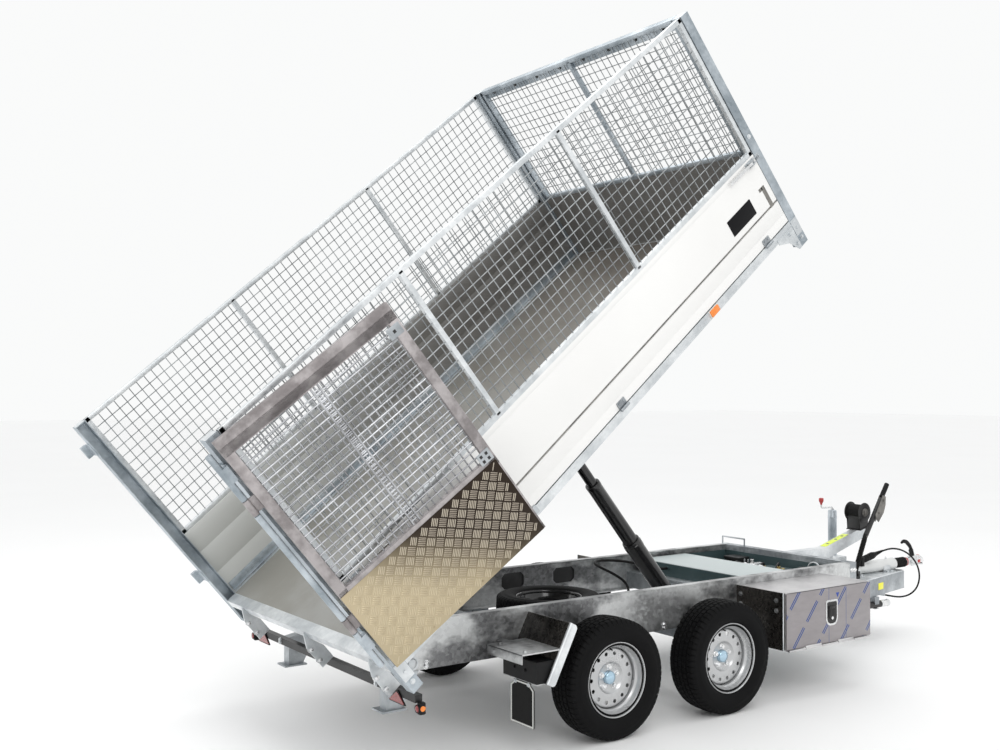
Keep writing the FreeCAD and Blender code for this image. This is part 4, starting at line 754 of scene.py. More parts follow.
RIM_WALL = [(0.1825, 0.0705), (0.1832, 0.0755), (0.1815, 0.0778), (0.1785, 0.0775), (0.1765, 0.0745),
            (0.1755, 0.0690), (0.1660, 0.0655), (0.1625, 0.0600), (0.1610, 0.0480), (0.1560, 0.0400),
            (0.1500, 0.0330), (0.1480, 0.0100)]
RIM_BACK = [(0.1505, -0.020), (0.1610, -0.048), (0.1625, -0.060), (0.166, -0.0655), (0.1755, -0.069),
            (0.1765, -0.0745), (0.1785, -0.0775), (0.1815, -0.0778), (0.1832, -0.0755), (0.1825, -0.0705)]
RIM_SEAT = [(0.1645, -0.0695), (0.1645, -0.052), (0.1535, -0.022), (0.1520, 0.010), (0.1540, 0.034), (0.1645, 0.052),
            (0.1645, 0.0695)]


def rim_shape(centre, outward, hub=True):
    """A stepped rim, a dished disc with fourteen round holes, and on a wheel in use its nuts and hub cap."""
    turn = lambda profile, sides=84, closed=False: turned(profile, centre, outward, sides, closed)
    parts = [(turn(RIM_WALL + RIM_BACK + RIM_SEAT, closed=True), SILVER),
             (turn([(0.134, 0.024), (0.140, 0.0232), (0.1455, 0.018), (0.1482, 0.008), (0.1482, -0.004),
                    (0.1455, -0.004), (0.142, 0.012), (0.138, 0.0195), (0.134, 0.0205)], closed=True), SILVER),
             (holed_ring(centre, outward, 0.106, 0.134, 0.024, 0.0035, 0.0100), SILVER),
             (turn([(0.106, 0.024), (0.086, 0.0245), (0.079, 0.0235), (0.070, 0.0135), (0.064, 0.0105),
                    (0.034, 0.0105), (0.034, 0.005), (0.064, 0.005), (0.079, 0.019), (0.086, 0.0205),
                    (0.106, 0.0205)], closed=True), SILVER)]
    across, up, along = axes_along(outward)
    if hub:
        nuts = []
        for k in range(5):
            a = 2 * np.pi * k / 5 + 0.3
            at = np.asarray(centre) + 0.050 * (np.cos(a) * across + np.sin(a) * up) + 0.0105 * along
            nuts.append(bolt(at, along, 0.019, 0.015))
        parts += [(nuts, CHROME),
                  (turned([(0.033, 0.006), (0.033, 0.020), (0.031, 0.026), (0.027, 0.030), (0.012, 0.0335),
                           (0.002, 0.034)], centre, outward, 40), CAP_BLUE),
                  (turned([(0.020, -0.074), (0.115, -0.074), (0.115, -0.066), (0.110, -0.062), (0.110, -0.034),
                           (0.104, -0.026), (0.062, -0.024), (0.060, 0.004), (0.020, 0.004)], centre, outward, 56),
                   BLACK_SATIN)]
    valve = np.asarray(centre) + 0.143 * up + 0.012 * along
    parts.append((rods([valve], [valve + 0.026 * along - 0.006 * up], 0.0042, 10), BLACK_PLASTIC))
    return parts


for end, x in (("front", AXLE_X), ("rear", -AXLE_X)):
    for side, sign in (("left", 1), ("right", -1)):
        hub_at, corner = (x, sign * WHEEL_Y, TYRE_R), f"{end}_{side}"
        piece(f"tread_{corner}", f"wheel_{corner}", "tyre", (tyre_shape(hub_at, sign * Y), TYRE),
              stands_for=[f"tyre_{corner}"])
        piece(f"wheel_disc_{corner}", f"wheel_{corner}", "rim", *rim_shape(hub_at, sign * Y),
              stands_for=[f"rim_{corner}"])

SPARE_AT = (-0.160, 0.0, 0.384 + 0.0925)
piece("spare_tread", "chassis", "tyre", (tyre_shape(SPARE_AT, Z), TYRE), stands_for=["spare_tyre"])
piece("spare_disc", "chassis", "rim",
      *[(shape, BLACK_GLOSS if finish is SILVER else finish) for shape, finish in rim_shape(SPARE_AT, Z, hub=False)],
      stands_for=["spare_rim"])


# Bed sides: framed round-wire mesh over aluminium boards
BED_L, HALF_W, BED_H, SIDE_H = 3.25, 0.93, 1.243, 0.431
POST, MESH_BAR, WIRE_R = 0.06, 0.025, 0.0026


def mesh_frame(a0, a1, b0, b1, bar, uprights, pitch, axis_a, axis_b, origin, out, deep=MESH_BAR, wire_r=WIRE_R):
    """A welded panel in the plane of two axes: rounded frame bars, uprights and two layers of crossing wires."""
    axis_a, axis_b, out = (np.asarray(v, float) for v in (axis_a, axis_b, out))
    at = lambda a, b, d=0.0: np.asarray(origin) + a * axis_a + b * axis_b + d * out
    h, d = bar / 2, deep / 2
    runs = [((a0 + h, b0), (a0 + h, b1)), ((a1 - h, b0), (a1 - h, b1)), ((a0, b0 + h), (a1, b0 + h)),
            ((a0, b1 - h), (a1, b1 - h))]
    runs += [((a, b0 + h), (a, b1 - h)) for a in uprights]
    frame_ = [beam(at(*start, d), at(*end, d), bar, deep, out) for start, end in runs]
    count = round((a1 - a0 - 2 * bar) / pitch)
    a = a0 + bar + (a1 - a0 - 2 * bar) * np.arange(1, count) / count
    count = round((b1 - b0 - 2 * bar) / pitch)
    b = b0 + bar + (b1 - b0 - 2 * bar) * np.arange(1, count) / count
    origin = np.asarray(origin, float)
    back, near = origin + out * (d - 0.9 * wire_r), origin + out * (d + 0.9 * wire_r)
    up_wires = rods(back + a[:, None] * axis_a + (b0 + h) * axis_b, back + a[:, None] * axis_a + (b1 - h) * axis_b,
                    wire_r)
    cross = rods(near + b[:, None] * axis_b + (a0 + h) * axis_a, near + b[:, None] * axis_b + (a1 - h) * axis_a,
                 wire_r)
    return join(*frame_), join(up_wires, cross)


THIRD = BED_L / 3
for name, sign, body in (("left", 1, "left_side"), ("right", -1, "bed")):
    bars, wires = mesh_frame(0.065, BED_L - 0.065, SIDE_H, BED_H, MESH_BAR, (THIRD, 2 * THIRD), 0.050, X, Z,
                             (0, sign * (HALF_W - 0.027), 0), sign * Y)
    piece(f"wire_side_{name}", body, "galvanised", (bars, GALV_BRIGHT), (wires, WIRE_ZINC), place=bed,
          stands_for=[f"mesh_{name}"])
INNER_Y = HALF_W - 0.06
bars, wires = mesh_frame(-INNER_Y, INNER_Y, SIDE_H, BED_H, MESH_BAR, (0,), 0.050, Y, Z,
                         (BED_L - POST + 0.010, 0, 0), X)


def holed_strip(a0, a1, b0, b1, holes, hole_r, axis_a, axis_b, origin, thickness):
    """A flat strip of equal cells with a round hole in each: quads from each cell's edge to its circle."""
    axis_a, axis_b, origin = (np.asarray(v, float) for v in (axis_a, axis_b, origin))
    out = np.cross(axis_a, axis_b)
    step = (a1 - a0) / holes
    h, w = (b1 - b0) / 2, step / 2
    edge = np.array([(-w, -h), (0, -h), (w, -h), (w, 0), (w, h), (0, h), (-w, h), (-w, 0)])
    edge = np.stack([edge, 0.5 * (edge + np.roll(edge, -1, 0))], 1).reshape(-1, 2)
    circle = hole_r * edge / np.linalg.norm(edge, axis=1)[:, None]
    loops = np.stack([edge, circle, circle, edge])
    depth = np.array([0, 0, -thickness, -thickness])
    shapes = []
    for k in range(holes):
        middle = np.array([a0 + (k + 0.5) * step, 0.5 * (b0 + b1)])
        flat = loops + middle
        grid = origin + flat[..., :1] * axis_a + flat[..., 1:] * axis_b + depth[:, None, None] * out
        shapes.append(surface(grid, (True, True)))
    return join(*shapes)


TOP_U = BED_L - POST + 0.034
top_rail = join(holed_strip(-INNER_Y, INNER_Y, BED_H - 0.062, BED_H, 8, 0.009, Y, Z, (TOP_U, 0, 0), 0.004),
                beam((TOP_U, 0, BED_H - 0.002), (BED_L, 0, BED_H - 0.002), 2 * INNER_Y, 0.004, Z, 0.001),
                beam((BED_L - 0.002, 0, BED_H - 0.062), (BED_L - 0.002, 0, BED_H), 2 * INNER_Y, 0.004, X, 0.001))
rail_plugs = [turned([(0.0135, 0.0), (0.0135, 0.0010), (0.0120, 0.0018)],
                     (TOP_U - 0.0041, INNER_Y * (k - 3.5) / 4, BED_H - 0.031), -X, 20) for k in range(8)]
piece("wire_front", "bed", "galvanised", (bars, GALV_POST), (wires, WIRE_ZINC), (top_rail, GALV_POST),
      (rail_plugs, BLACK_SATIN), place=bed, stands_for=["mesh_front"])


def board_shape(sign):
    """A drop side: the hollow board's section with its groove and lipped edges, carried along the bed."""
    t, groove, depth = 0.025, 0.140, 0.005
    out = [(0, 0.006), (0.0015, 0.0045), (0.0235, 0.0045), (0.025, 0.006), (0.025, 0.050), (0.0242, 0.0515),
           (0.0242, 0.0555), (0.025, 0.057), (0.025, groove - 0.006), (t - depth, groove - 0.0045),
           (t - depth, groove + 0.0045), (0.025, groove + 0.006), (0.025, 0.398), (0.0242, 0.3995), (0.0242, 0.404),
           (0.025, 0.4055), (0.025, 0.4285), (0.0235, SIDE_H), (0.0015, SIDE_H), (0, 0.4285), (0, 0.30),
           (0.001, 0.298), (0.001, 0.294), (0, 0.292), (0, 0.15), (0.001, 0.148), (0.001, 0.144), (0, 0.142)]
    y, v = np.array(out).T
    ends = np.array([0.062, BED_L - 0.062])
    grid = np.empty((2, len(out), 3))
    grid[..., 0] = ends[:, None]
    grid[..., 1] = sign * (HALF_W - 0.027 + y)
    grid[..., 2] = v
    return surface(grid, caps=True)


def toggle(at, along, up, out, length=0.16):
    """An over-centre catch: base plate, bent handle, hook loop and two rivets, laid out along a direction."""
    at, along, up, out = (np.asarray(v, float) for v in (at, along, up, out))
    p = lambda a, b, c: at + a * along + b * up + c * out
    base = beam(p(0, 0, 0.002), p(0.075, 0, 0.002), 0.034, 0.003, out, 0.001)
    cheeks = [beam(p(0.012, s * 0.013, 0.010), p(0.058, s * 0.013, 0.010), 0.002, 0.018, out, 0.0006)
              for s in (1, -1)]
    pin_ = rods([p(0.045, -0.016, 0.014)], [p(0.045, 0.016, 0.014)], 0.004, 10)
    handle_ = beam(p(0.040, 0, 0.019), p(0.040 - length, 0, 0.012), 0.016, 0.004, out, 0.001)
    knob = beam(p(0.052 - length, 0, 0.012), p(0.030 - length, 0, 0.017), 0.018, 0.009, out, 0.003)
    loop = tube(bends([p(0.046, -0.010, 0.012), p(0.105, -0.012, 0.010), p(0.105, 0.012, 0.010),
                       p(0.046, 0.010, 0.012)], 0.008), 0.0028, 8)
    keeper = beam(p(0.098, 0, 0.001), p(0.126, 0, 0.001), 0.034, 0.003, out, 0.001)
    hook_ = beam(p(0.112, 0, 0.0), p(0.112, 0, 0.017), 0.020, 0.004, along, 0.001)
    rivets = [bolt(p(a, s * 0.010, 0.003), out, 0.006, 0.003, False) for a in (0.006, 0.068) for s in (1, -1)]
    return join(base, *cheeks, pin_, loop, keeper, hook_, *rivets), join(handle_, knob)


for name, sign, body in (("left", 1, "left_side"), ("right", -1, "bed")):
    y = sign * (HALF_W - 0.002)
    knuckles = []
    for u in (0.075 * BED_L, 0.5 * BED_L, 0.925 * BED_L - 0.06):
        axis_y, leaf_y = sign * (HALF_W + 0.010), y + sign * 0.003
        knuckles += [rods([(u, axis_y, 0.0)], [(u + 0.06, axis_y, 0.0)], 0.008, 14),
                     beam((u + 0.03, leaf_y, 0.002), (u + 0.03, leaf_y, 0.040), 0.058, 0.006, Y, 0.0015)]
        knuckles += [bolt((u + du, y + sign * 0.006, 0.028), sign * Y, 0.010, 0.004) for du in (0.015, 0.045)]
    catches, handles = [], []
    for u, v, way in ((BED_L - 0.155, 0.405, 1), (0.155, 0.405, -1)):
        catch, grip_ = toggle((u, y, v), way * X, Z, sign * Y, 0.19)
        catches.append(catch)
        handles.append(grip_)
    slot_u = BED_L - 0.125
    slot_in, slot_out, groove_y = y - sign * 0.004, y + sign * 0.0006, y - sign * 0.0045
    # Dark grey blocks for the catch slot and a dark line in the groove's bottom: painted shade in the recesses
    recess = [block((slot_u, slot_in, 0.136), (slot_u + 0.024, slot_out, 0.262), 0.001),
              block((slot_u - 0.022, slot_in, 0.246), (slot_u + 0.004, slot_out, 0.262), 0.001),
              beam((0.064, groove_y, 0.140), (BED_L - 0.064, groove_y, 0.140), 0.0012, 0.0075, Z, 0.0003)]
    piece(f"drop_side_{name}", body, "aluminium", (board_shape(sign), BOARD), (recess, GREY_STEEL), place=bed,
          stands_for=[f"side_panel_{name}"])
    piece(f"side_fittings_{name}", body, "galvanised", (join(*knuckles, *catches), GALV), (handles, CHROME),
          place=bed)

# On the right side: the blank name plate, the amber side marker and the front post's bolted gusset
OUT_Y = -HALF_W + 0.002
name_plate = beam((2.797, OUT_Y - 0.0007, 0.2225), (3.013, OUT_Y - 0.0007, 0.2225), 0.0016, 0.090, Z, 0.0005)
marker = beam((2.398, OUT_Y - 0.0065, -0.0225), (2.466, OUT_Y - 0.0065, -0.0225), 0.009, 0.036, Z, 0.003)
marker_base = beam((2.393, OUT_Y - 0.0025, -0.0225), (2.472, OUT_Y - 0.0025, -0.0225), 0.003, 0.042, Z, 0.001)
gusset = plate([(3.045, -0.030), (3.188, -0.030), (3.188, -0.165), (3.165, -0.165), (3.120, -0.095), (3.045, -0.055)],
               (0, OUT_Y, 0), X, Z, 0.004)
gusset_bolts = [bolt((u, OUT_Y - 0.004, v), -Y, 0.018, 0.010) for u, v in ((3.150, -0.055), (3.172, -0.130))]
piece("right_side_marks", "bed", "black_plastic", (name_plate, PLATE_BLANK), (marker, AMBER_LENS),
      (marker_base, LIGHT_EDGE), (join(gusset, *gusset_bolts), GALV_BRIGHT), place=bed)


# Rear door, drawn closed and swung right round its post's hinge
HINGE = (-0.035, -0.962)
DOOR = swung(HINGE, 260)
DOOR_Y0, DOOR_Y1, DOOR_U0, DOOR_U1 = -0.922, -0.062, -0.044, -0.014
TILE, RIDGE_H = 0.041, 0.0015


def ridges(y0, y1, v0, v1, at_u, turn):
    """Five-bar tread on a chequered grid turned 45 degrees: tile (i, j) is at TILE · (i·e1 + j·e2), where
    e1 = (1, 1)/√2 and e2 = (-1, 1)/√2. Tiles of even i + j carry bars along e1 and odd ones along e2.
    A bar is a hexagon whose crest stands RIDGE_H higher."""
    reach = int(1.5 * (y1 - y0) / TILE)
    tiles = np.arange(-reach, reach)
    i, j, k = (g.ravel() for g in np.meshgrid(tiles, tiles, np.arange(5), indexing="ij"))
    i, j, k = (g[(i + j) % 2 == turn] for g in (i, j, k))
    e = np.array([(1, 1), (-1, 1)]) / math.sqrt(2)
    along, over = (e[0], e[1]) if turn == 0 else (e[1], e[0])
    centre = (0.5 * (y0 + y1), 0.5 * (v0 + v1))
    middle = centre + TILE * (i[:, None] * e[0] + j[:, None] * e[1] + (k[:, None] - 2) * 0.185 * over)
    a = np.array([-0.44, -0.36, 0.36, 0.44, 0.36, -0.36, -0.38, 0.38]) * TILE
    b = np.array([0, -1, -1, 0, 1, 1, 0, 0]) * TILE * 0.054
    lift = np.array([0, 0, 0, 0, 0, 0, 1, 1]) * RIDGE_H
    flat = middle[:, None] + a[:, None] * along + b[:, None] * over
    inside = np.all((flat > (y0, v0)) & (flat < (y1, v1)), axis=(1, 2))
    flat = flat[inside]
    points = np.stack([np.broadcast_to(at_u + lift, flat.shape[:2]), flat[..., 0], flat[..., 1]], -1)
    faces = [(0, 1, 6), (1, 2, 7, 6), (2, 3, 7), (3, 4, 7), (4, 5, 6, 7), (5, 0, 6), (5, 4, 3, 2, 1, 0)]
    return points.reshape(-1, 3), [tuple(8 * n + f for f in face) for n in range(len(flat)) for face in faces]


door_frame, door_wires = mesh_frame(DOOR_Y0, DOOR_Y1, 0.390, 1.200, 0.045, (), 0.035, Y, Z,
                                    (DOOR_U0, 0, 0), X, deep=0.030, wire_r=0.0034)
mid_u = 0.5 * (DOOR_U0 + DOOR_U1)
bars = [beam((mid_u, y, 0.015), (mid_u, y, 0.41), 0.045, 0.030, X) for y in (DOOR_Y0 + 0.0225, DOOR_Y1 - 0.0225)]
bars += [beam((mid_u, DOOR_Y0, v), (mid_u, DOOR_Y1, v), 0.030, h, Z) for v, h in ((0.030, 0.030), (1.1955, 0.075))]
tongues = []
for v in (0.254, 0.904):
    tongues += [beam((DOOR_U0 + 0.005, HINGE[1] + 0.012, v + 0.036), (DOOR_U0 + 0.005, DOOR_Y0 + 0.030, v + 0.036),
                     0.010, 0.066, Z),
                turned([(0.0088, 0.0), (0.0142, 0.0), (0.0142, 0.072), (0.0088, 0.072)], (*HINGE, v), Z, 28, True)]
    tongues += [bolt((DOOR_U0 + 0.010, DOOR_Y0 + 0.012, v + dv), X, 0.013, 0.007) for dv in (0.018, 0.054)]
bolt_y = DOOR_Y1 - 0.0225
lock = [rods([(DOOR_U0 - 0.015, bolt_y, 0.030)], [(DOOR_U0 - 0.015, bolt_y, 1.205)], 0.008, 14),
        tube(bends([(DOOR_U0 - 0.015, bolt_y, 0.62), (DOOR_U0 - 0.033, bolt_y, 0.62),
                    (DOOR_U0 - 0.033, bolt_y - 0.15, 0.62)], 0.02), 0.007, 10)]
lock += [beam((DOOR_U0 - 0.013, bolt_y - 0.022, v), (DOOR_U0 - 0.013, bolt_y + 0.022, v), 0.026, 0.030, Z, 0.004)
         for v in (0.10, 0.52, 0.74, 1.13)]
lock.append(block((DOOR_U0 + 0.004, DOOR_Y1 - 0.002, 0.085), (DOOR_U1 - 0.004, DOOR_Y1 + 0.022, 0.120), 0.002))
latch_u, hole_u = DOOR_U1 + 0.0006, DOOR_U1 + 0.0014
latch_plates = [beam((latch_u, DOOR_Y1 - 0.074, v), (latch_u, DOOR_Y1 - 0.009, v), 0.0016, h, Z, 0.0005)
                for v, h in ((0.452, 0.056), (1.120, 0.050))]
# Thin black plates on the latch plates stand for their slots: painted shade in the holes
latch_holes = [beam((hole_u, DOOR_Y1 - y, v), (hole_u, DOOR_Y1 - y + 0.013, v), 0.0006, 0.014, Z, 0.0002)
               for y, v in ((0.062, 0.463), (0.062, 0.438), (0.034, 0.463), (0.034, 0.438), (0.050, 1.120))]
mid_y = 0.5 * (DOOR_Y0 + DOOR_Y1)
rung_v = np.arange(0.45, 1.15, 0.0175)
rungs = rods([(mid_u, mid_y - 0.016, v) for v in rung_v], [(mid_u, mid_y + 0.016, v) for v in rung_v], 0.0036)
rails_ = [beam((mid_u, mid_y + s * 0.0165, 0.40), (mid_u, mid_y + s * 0.0165, 1.18), 0.007, 0.020, X)
          for s in (1, -1)]
piece("door_frame", "rear_door", "galvanised", (join(door_frame, *bars, *tongues), GALV_DOOR),
      (join(door_wires, rungs, *rails_), DOOR_WIRE), (join(*lock, *latch_plates), GALV), (latch_holes, BLACK_SATIN),
      place=DOOR, stands_for=["door_leaf"])
PLATE_V = (0.015, 0.415)
plate_mid = 0.5 * sum(PLATE_V)
sheets = [beam((u, DOOR_Y0, plate_mid), (u, y1, plate_mid), thick, PLATE_V[1] - PLATE_V[0], Z, 0.0005)
          for u, y1, thick in ((DOOR_U0 - 0.0017, DOOR_Y1, 0.0026), (DOOR_U1 + 0.0008, DOOR_Y1 - 0.009, 0.0014))]
rivets = [bolt((DOOR_U1 + 0.0012, y, 0.030), X, 0.008, 0.003, False)
          for y in np.linspace(DOOR_Y0 + 0.08, DOOR_Y1 - 0.08, 6)]
corner = DOOR((DOOR_U1, DOOR_Y0, PLATE_V[0]))
tread_ways = (corner, DOOR((DOOR_U1, DOOR_Y0 + 1, PLATE_V[0])) - corner,
              DOOR((DOOR_U1, DOOR_Y0, PLATE_V[0] + 1)) - corner)
# Painted reflection: the plate is warm and light near the hinge and nearly black away from it
TREAD = tread("tread plate", (0.50, 0.42, 0.28), (0.030, 0.021, 0.015), *tread_ways)
# Painted highlight: the bars are lighter than the plate, and the bars turned along e2 less so
TREAD_BARS_HIGHLIT = tread("tread bars", (0.60, 0.52, 0.37), (0.56, 0.50, 0.41), *tread_ways)
TREAD_BARS_LESS_HIGHLIT = tread("turned tread bars", (0.55, 0.47, 0.33), (0.40, 0.35, 0.29), *tread_ways)
bars_at = lambda turn: ridges(DOOR_Y0 + 0.006, DOOR_Y1 - 0.018, PLATE_V[0] + 0.006, PLATE_V[1] - 0.006,
                              DOOR_U1 + 0.0015, turn)
piece("door_tread_plate", "rear_door", "checker", (join(*sheets, *rivets), TREAD), (bars_at(0), TREAD_BARS_HIGHLIT),
      (bars_at(1), TREAD_BARS_LESS_HIGHLIT), place=DOOR, stands_for=["door_plate"])


# Toolbox: an open sheet shell, and its film-covered drop lid with a folded edge and a sunk paddle latch
BOX_X0, BOX_X1, BOX_Y0, BOX_Y1, BOX_Z0, BOX_Z1 = 0.775, 1.490, 0.544, 0.880, 0.290, 0.597
LID_Y = BOX_Y1 + 0.005


def shell(x0, x1, y0, y1, z0, z1, t):
    """An open box of bent sheet on the right side: a U section with rounded corners, its two ends and its lips."""
    r = 0.008
    a = np.linspace(0, np.pi / 2, 5)
    corner = lambda cy, cz, start, radius: [(cy + radius * math.cos(t_ + start), cz + radius * math.sin(t_ + start))
                                            for t_ in a]
    bent = lambda radius: corner(-y0 - r, z0 + r, -np.pi / 2, radius) + corner(-y0 - r, z1 - r, 0, radius)
    section = np.array([(-y1, z0), *bent(r), (-y1, z1), (-y1, z1 - t), *bent(r - t)[::-1], (-y1, z0 + t)])
    grid = np.empty((2, len(section), 3))
    grid[..., 0] = np.array([x0, x1])[:, None]
    grid[..., 1:] = section
    ends = [block((x, -y1, z0 + t), (x + t, -y0 - t, z1 - t), 0.001) for x in (x0, x1 - t)]
    lips = [block((x, -y1, z0 + t), (x + 0.014, -y1 + t, z1 - t), 0.001) for x in (x0 + t, x1 - t - 0.014)]
    return join(surface(grid, caps=True), *ends, *lips)


LID_END, LID_PITCH = 0.015, (BOX_X1 - BOX_X0 - 0.030) / 5
hinge_at = (-BOX_Y1 - 0.012, BOX_Z0 - 0.006)
knuckles = {0: [], 1: []}
for k in range(5):
    x0 = BOX_X0 + LID_END + k * LID_PITCH
    x1 = x0 + LID_PITCH - 0.005
    knuckles[k % 2].append(turned([(0.0026, 0), (0.0051, 0), (0.0051, x1 - x0), (0.0026, x1 - x0)], (x0, *hinge_at),
                                  X, 16, True))
    if k % 2:
        knuckles[1].append(block((x0, -LID_Y - 0.0075, hinge_at[1]), (x1, -LID_Y - 0.001, BOX_Z0 + 0.008), 0.001))
    else:
        knuckles[0].append(block((x0, -BOX_Y1 - 0.012, hinge_at[1] - 0.0025),
                                 (x1, -BOX_Y1 + 0.015, hinge_at[1] + 0.0025), 0.001))
        knuckles[0].append(block((x0, -BOX_Y1 + 0.005, hinge_at[1]), (x1, -BOX_Y1 + 0.015, BOX_Z0 + 0.001), 0.001))
pin_ = rods([(BOX_X0 + LID_END, *hinge_at)], [(BOX_X1 - LID_END, *hinge_at)], 0.0024, 12)
seal = [block((BOX_X0 + 0.006, -BOX_Y1 - 0.003, BOX_Z0 + 0.006), (BOX_X0 + 0.014, -BOX_Y1, BOX_Z1 - 0.008), 0.001),
        block((BOX_X1 - 0.014, -BOX_Y1 - 0.003, BOX_Z0 + 0.006), (BOX_X1 - 0.006, -BOX_Y1, BOX_Z1 - 0.008), 0.001),
        beam((BOX_X0 + 0.006, -BOX_Y1 - 0.0015, BOX_Z1 - 0.010), (BOX_X1 - 0.006, -BOX_Y1 - 0.0015, BOX_Z1 - 0.010),
             0.003, 0.008, Z, 0.001)]
piece("toolbox_shell", "chassis", "stainless",
      (shell(BOX_X0, BOX_X1, BOX_Y0, BOX_Y1, BOX_Z0, BOX_Z1, 0.003), STAINLESS),
      (join(*knuckles[0], pin_), STAINLESS), (seal, RUBBER), stands_for=["toolbox"])

LATCH_X, LATCH_Z = 1.149, 0.4555


def shield(width, height, steps=10):
    """A shield outline: a flat top with small corners, straight sides and a bottom narrowing by an elliptic arc."""
    w, h, r = width / 2, height / 2, 0.012
    t = np.linspace(0, np.pi / 2, steps)
    right = [(w * math.cos(a) ** 0.6 if a < np.pi / 2 else 0.0, -h * 0.35 - h * 0.65 * math.sin(a)) for a in t]
    top = [(w, h - r)] + [(w - r + r * math.cos(a), h - r + r * math.sin(a)) for a in t]
    outline = right[::-1] + top
    return np.array(outline + [(-x, z) for x, z in outline[::-1]][:-1])


def at_latch(outline, y):
    """An (x, z) outline about the latch's middle, at a distance outside the lid."""
    a, b = outline.T
    return np.stack([LATCH_X + a, np.full(len(a), -LID_Y - y), LATCH_Z + b], -1)


def layer(outline, y0, y1):
    """A flat outline on the latch, as thick as from y0 to y1 outside the lid."""
    face = at_latch(outline, y0)
    return surface(np.stack([face, face - (0, y1 - y0, 0)]), caps=True)


def hollow_layer(outer, inner, y0, y1, thin):
    """A rim between two outlines of equal count, domed between them."""
    steps = ((outer, y0), (outer, y1 - thin), (0.5 * (outer + inner), y1), (inner, y1 - thin), (inner, y0))
    return surface(np.stack([at_latch(outline, y) for outline, y in steps]), (True, True))


outer, inner = shield(0.100, 0.143), shield(0.083, 0.122)
rim_ = hollow_layer(outer, inner, 0.0028, 0.0085, 0.0025)
dish = layer(inner * 1.01, 0.0028, 0.0036)
paddle = join(layer(shield(0.052, 0.080) * (1, 0.9), 0.0036, 0.0075),
              beam((LATCH_X - 0.026, -LID_Y - 0.0075, LATCH_Z + 0.030),
                   (LATCH_X + 0.026, -LID_Y - 0.0075, LATCH_Z + 0.030), 0.004, 0.014, Z, 0.0015))
fingers = [block((LATCH_X + dx - 0.003, -LID_Y - 0.0095, LATCH_Z - 0.018),
                 (LATCH_X + dx + 0.003, -LID_Y - 0.0070, LATCH_Z + 0.022), 0.001) for dx in (-0.016, 0.0, 0.016)]
lock_ = turned([(0.009, 0.0), (0.009, 0.003), (0.006, 0.0042)], (LATCH_X, -LID_Y - 0.0072, LATCH_Z - 0.030), -Y, 24)
sheet_y, sheet_z = -LID_Y - 0.0015, 0.5 * (BOX_Z0 + BOX_Z1 - 0.004)
lid_sheet = [beam((BOX_X0 + 0.001, sheet_y, sheet_z), (BOX_X1 - 0.001, sheet_y, sheet_z), 0.0026,
                  BOX_Z1 - BOX_Z0 - 0.004, Z, 0.001),
             block((BOX_X0 + 0.010, -LID_Y, BOX_Z0 + 0.012), (BOX_X1 - 0.010, -LID_Y + 0.004, BOX_Z0 + 0.016), 0.001)]
arrow = plate([(1.186, 0.562), (1.214, 0.562), (1.200, 0.534)], (0, -LID_Y - 0.0028, 0), X, Z, 0.0006)
piece("toolbox_door", "box_lid", "stainless", (lid_sheet, FILM), (knuckles[1], STAINLESS),
      (join(rim_, lock_), CHROME), (join(dish, paddle, *fingers), BLACK_SATIN), (arrow, BLUE_MARK),
      stands_for=["toolbox_lid"])


# Overrun device, gaiter, coupling head and its handle
OVERRUN_Z, RAIL_Z = 0.463, 0.413
deck = plate([(2.280, 0.208), (2.960, 0.060), (2.960, -0.060), (2.280, -0.208)], (0, 0, RAIL_Z), X, Y, 0.008)
tube_body = turned([(0.030, 2.400), (0.040, 2.400), (0.042, 2.402), (0.042, 2.560), (0.0405, 2.563),
                    (0.0405, 2.600), (0.042, 2.603), (0.042, 2.800), (0.0405, 2.803), (0.0405, 2.862),
                    (0.042, 2.866), (0.042, 2.917), (0.040, 2.920), (0.030, 2.920)], (0, 0, OVERRUN_Z), X, 56)
saddles = []
for x in (2.470, 2.800):
    saddles += [block((x - 0.035, s * 0.040 - 0.004, RAIL_Z + 0.008),
                      (x + 0.035, s * 0.040 + 0.004, OVERRUN_Z + 0.002), 0.001) for s in (1, -1)]
    saddles += [bolt((x + dx, s * 0.062, RAIL_Z + 0.008), Z, 0.019, 0.012) for dx in (-0.022, 0.022) for s in (1, -1)]
    saddles += [block((x - 0.040, s * 0.058 - 0.018, RAIL_Z + 0.0079),
                      (x + 0.040, s * 0.058 + 0.018, RAIL_Z + 0.0085), 0.0008) for s in (1, -1)]
x, y, z = PLUG_TIP
socket_ = [block((x - 0.040, y - 0.022, OVERRUN_Z + 0.020), (x - 0.012, y + 0.022, z + 0.022), 0.004),
           turned([(0.021, -0.006), (0.0235, -0.002), (0.0235, 0.006)], (x - 0.018, y, z), X, 28)]
nipples = [turned([(0.007, 0.0), (0.007, 0.006), (0.004, 0.009), (0.004, 0.013), (0.003, 0.015)],
                  (x, 0, OVERRUN_Z + 0.041), Z, 12) for x in (2.640, 2.840)]
piece("overrun_body", "chassis", "galvanised", (join(deck, *saddles), GALV_BRIGHT), (tube_body, PALE_TUBE),
      (nipples, CHROME), (socket_, BLACK_PLASTIC), stands_for=["overrun_device"])

GAITER_X0, GAITER_L = 2.9203, 0.130
pleat = [(0.0302, 0), (0.0312, 0.0022), (0.0352, 0.0075), (0.036, 0.0093), (0.0352, 0.0111), (0.0312, 0.0164)]
pleats = [(0.029, 0.0), *repeated(pleat, [GAITER_L * k / 7 for k in range(7)]), (0.0302, GAITER_L), (0.029, GAITER_L)]
clamp_ = turned([(0.0315, -0.004), (0.0325, -0.0035), (0.0325, 0.0035), (0.0315, 0.004)],
                (GAITER_X0 + 0.0035, 0, OVERRUN_Z), X, 40)
piece("gaiter_pleats", "chassis", "rubber", (turned(pleats, (GAITER_X0, 0, OVERRUN_Z), X, 48), RUBBER),
      (clamp_, CHROME), stands_for=["gaiter"])


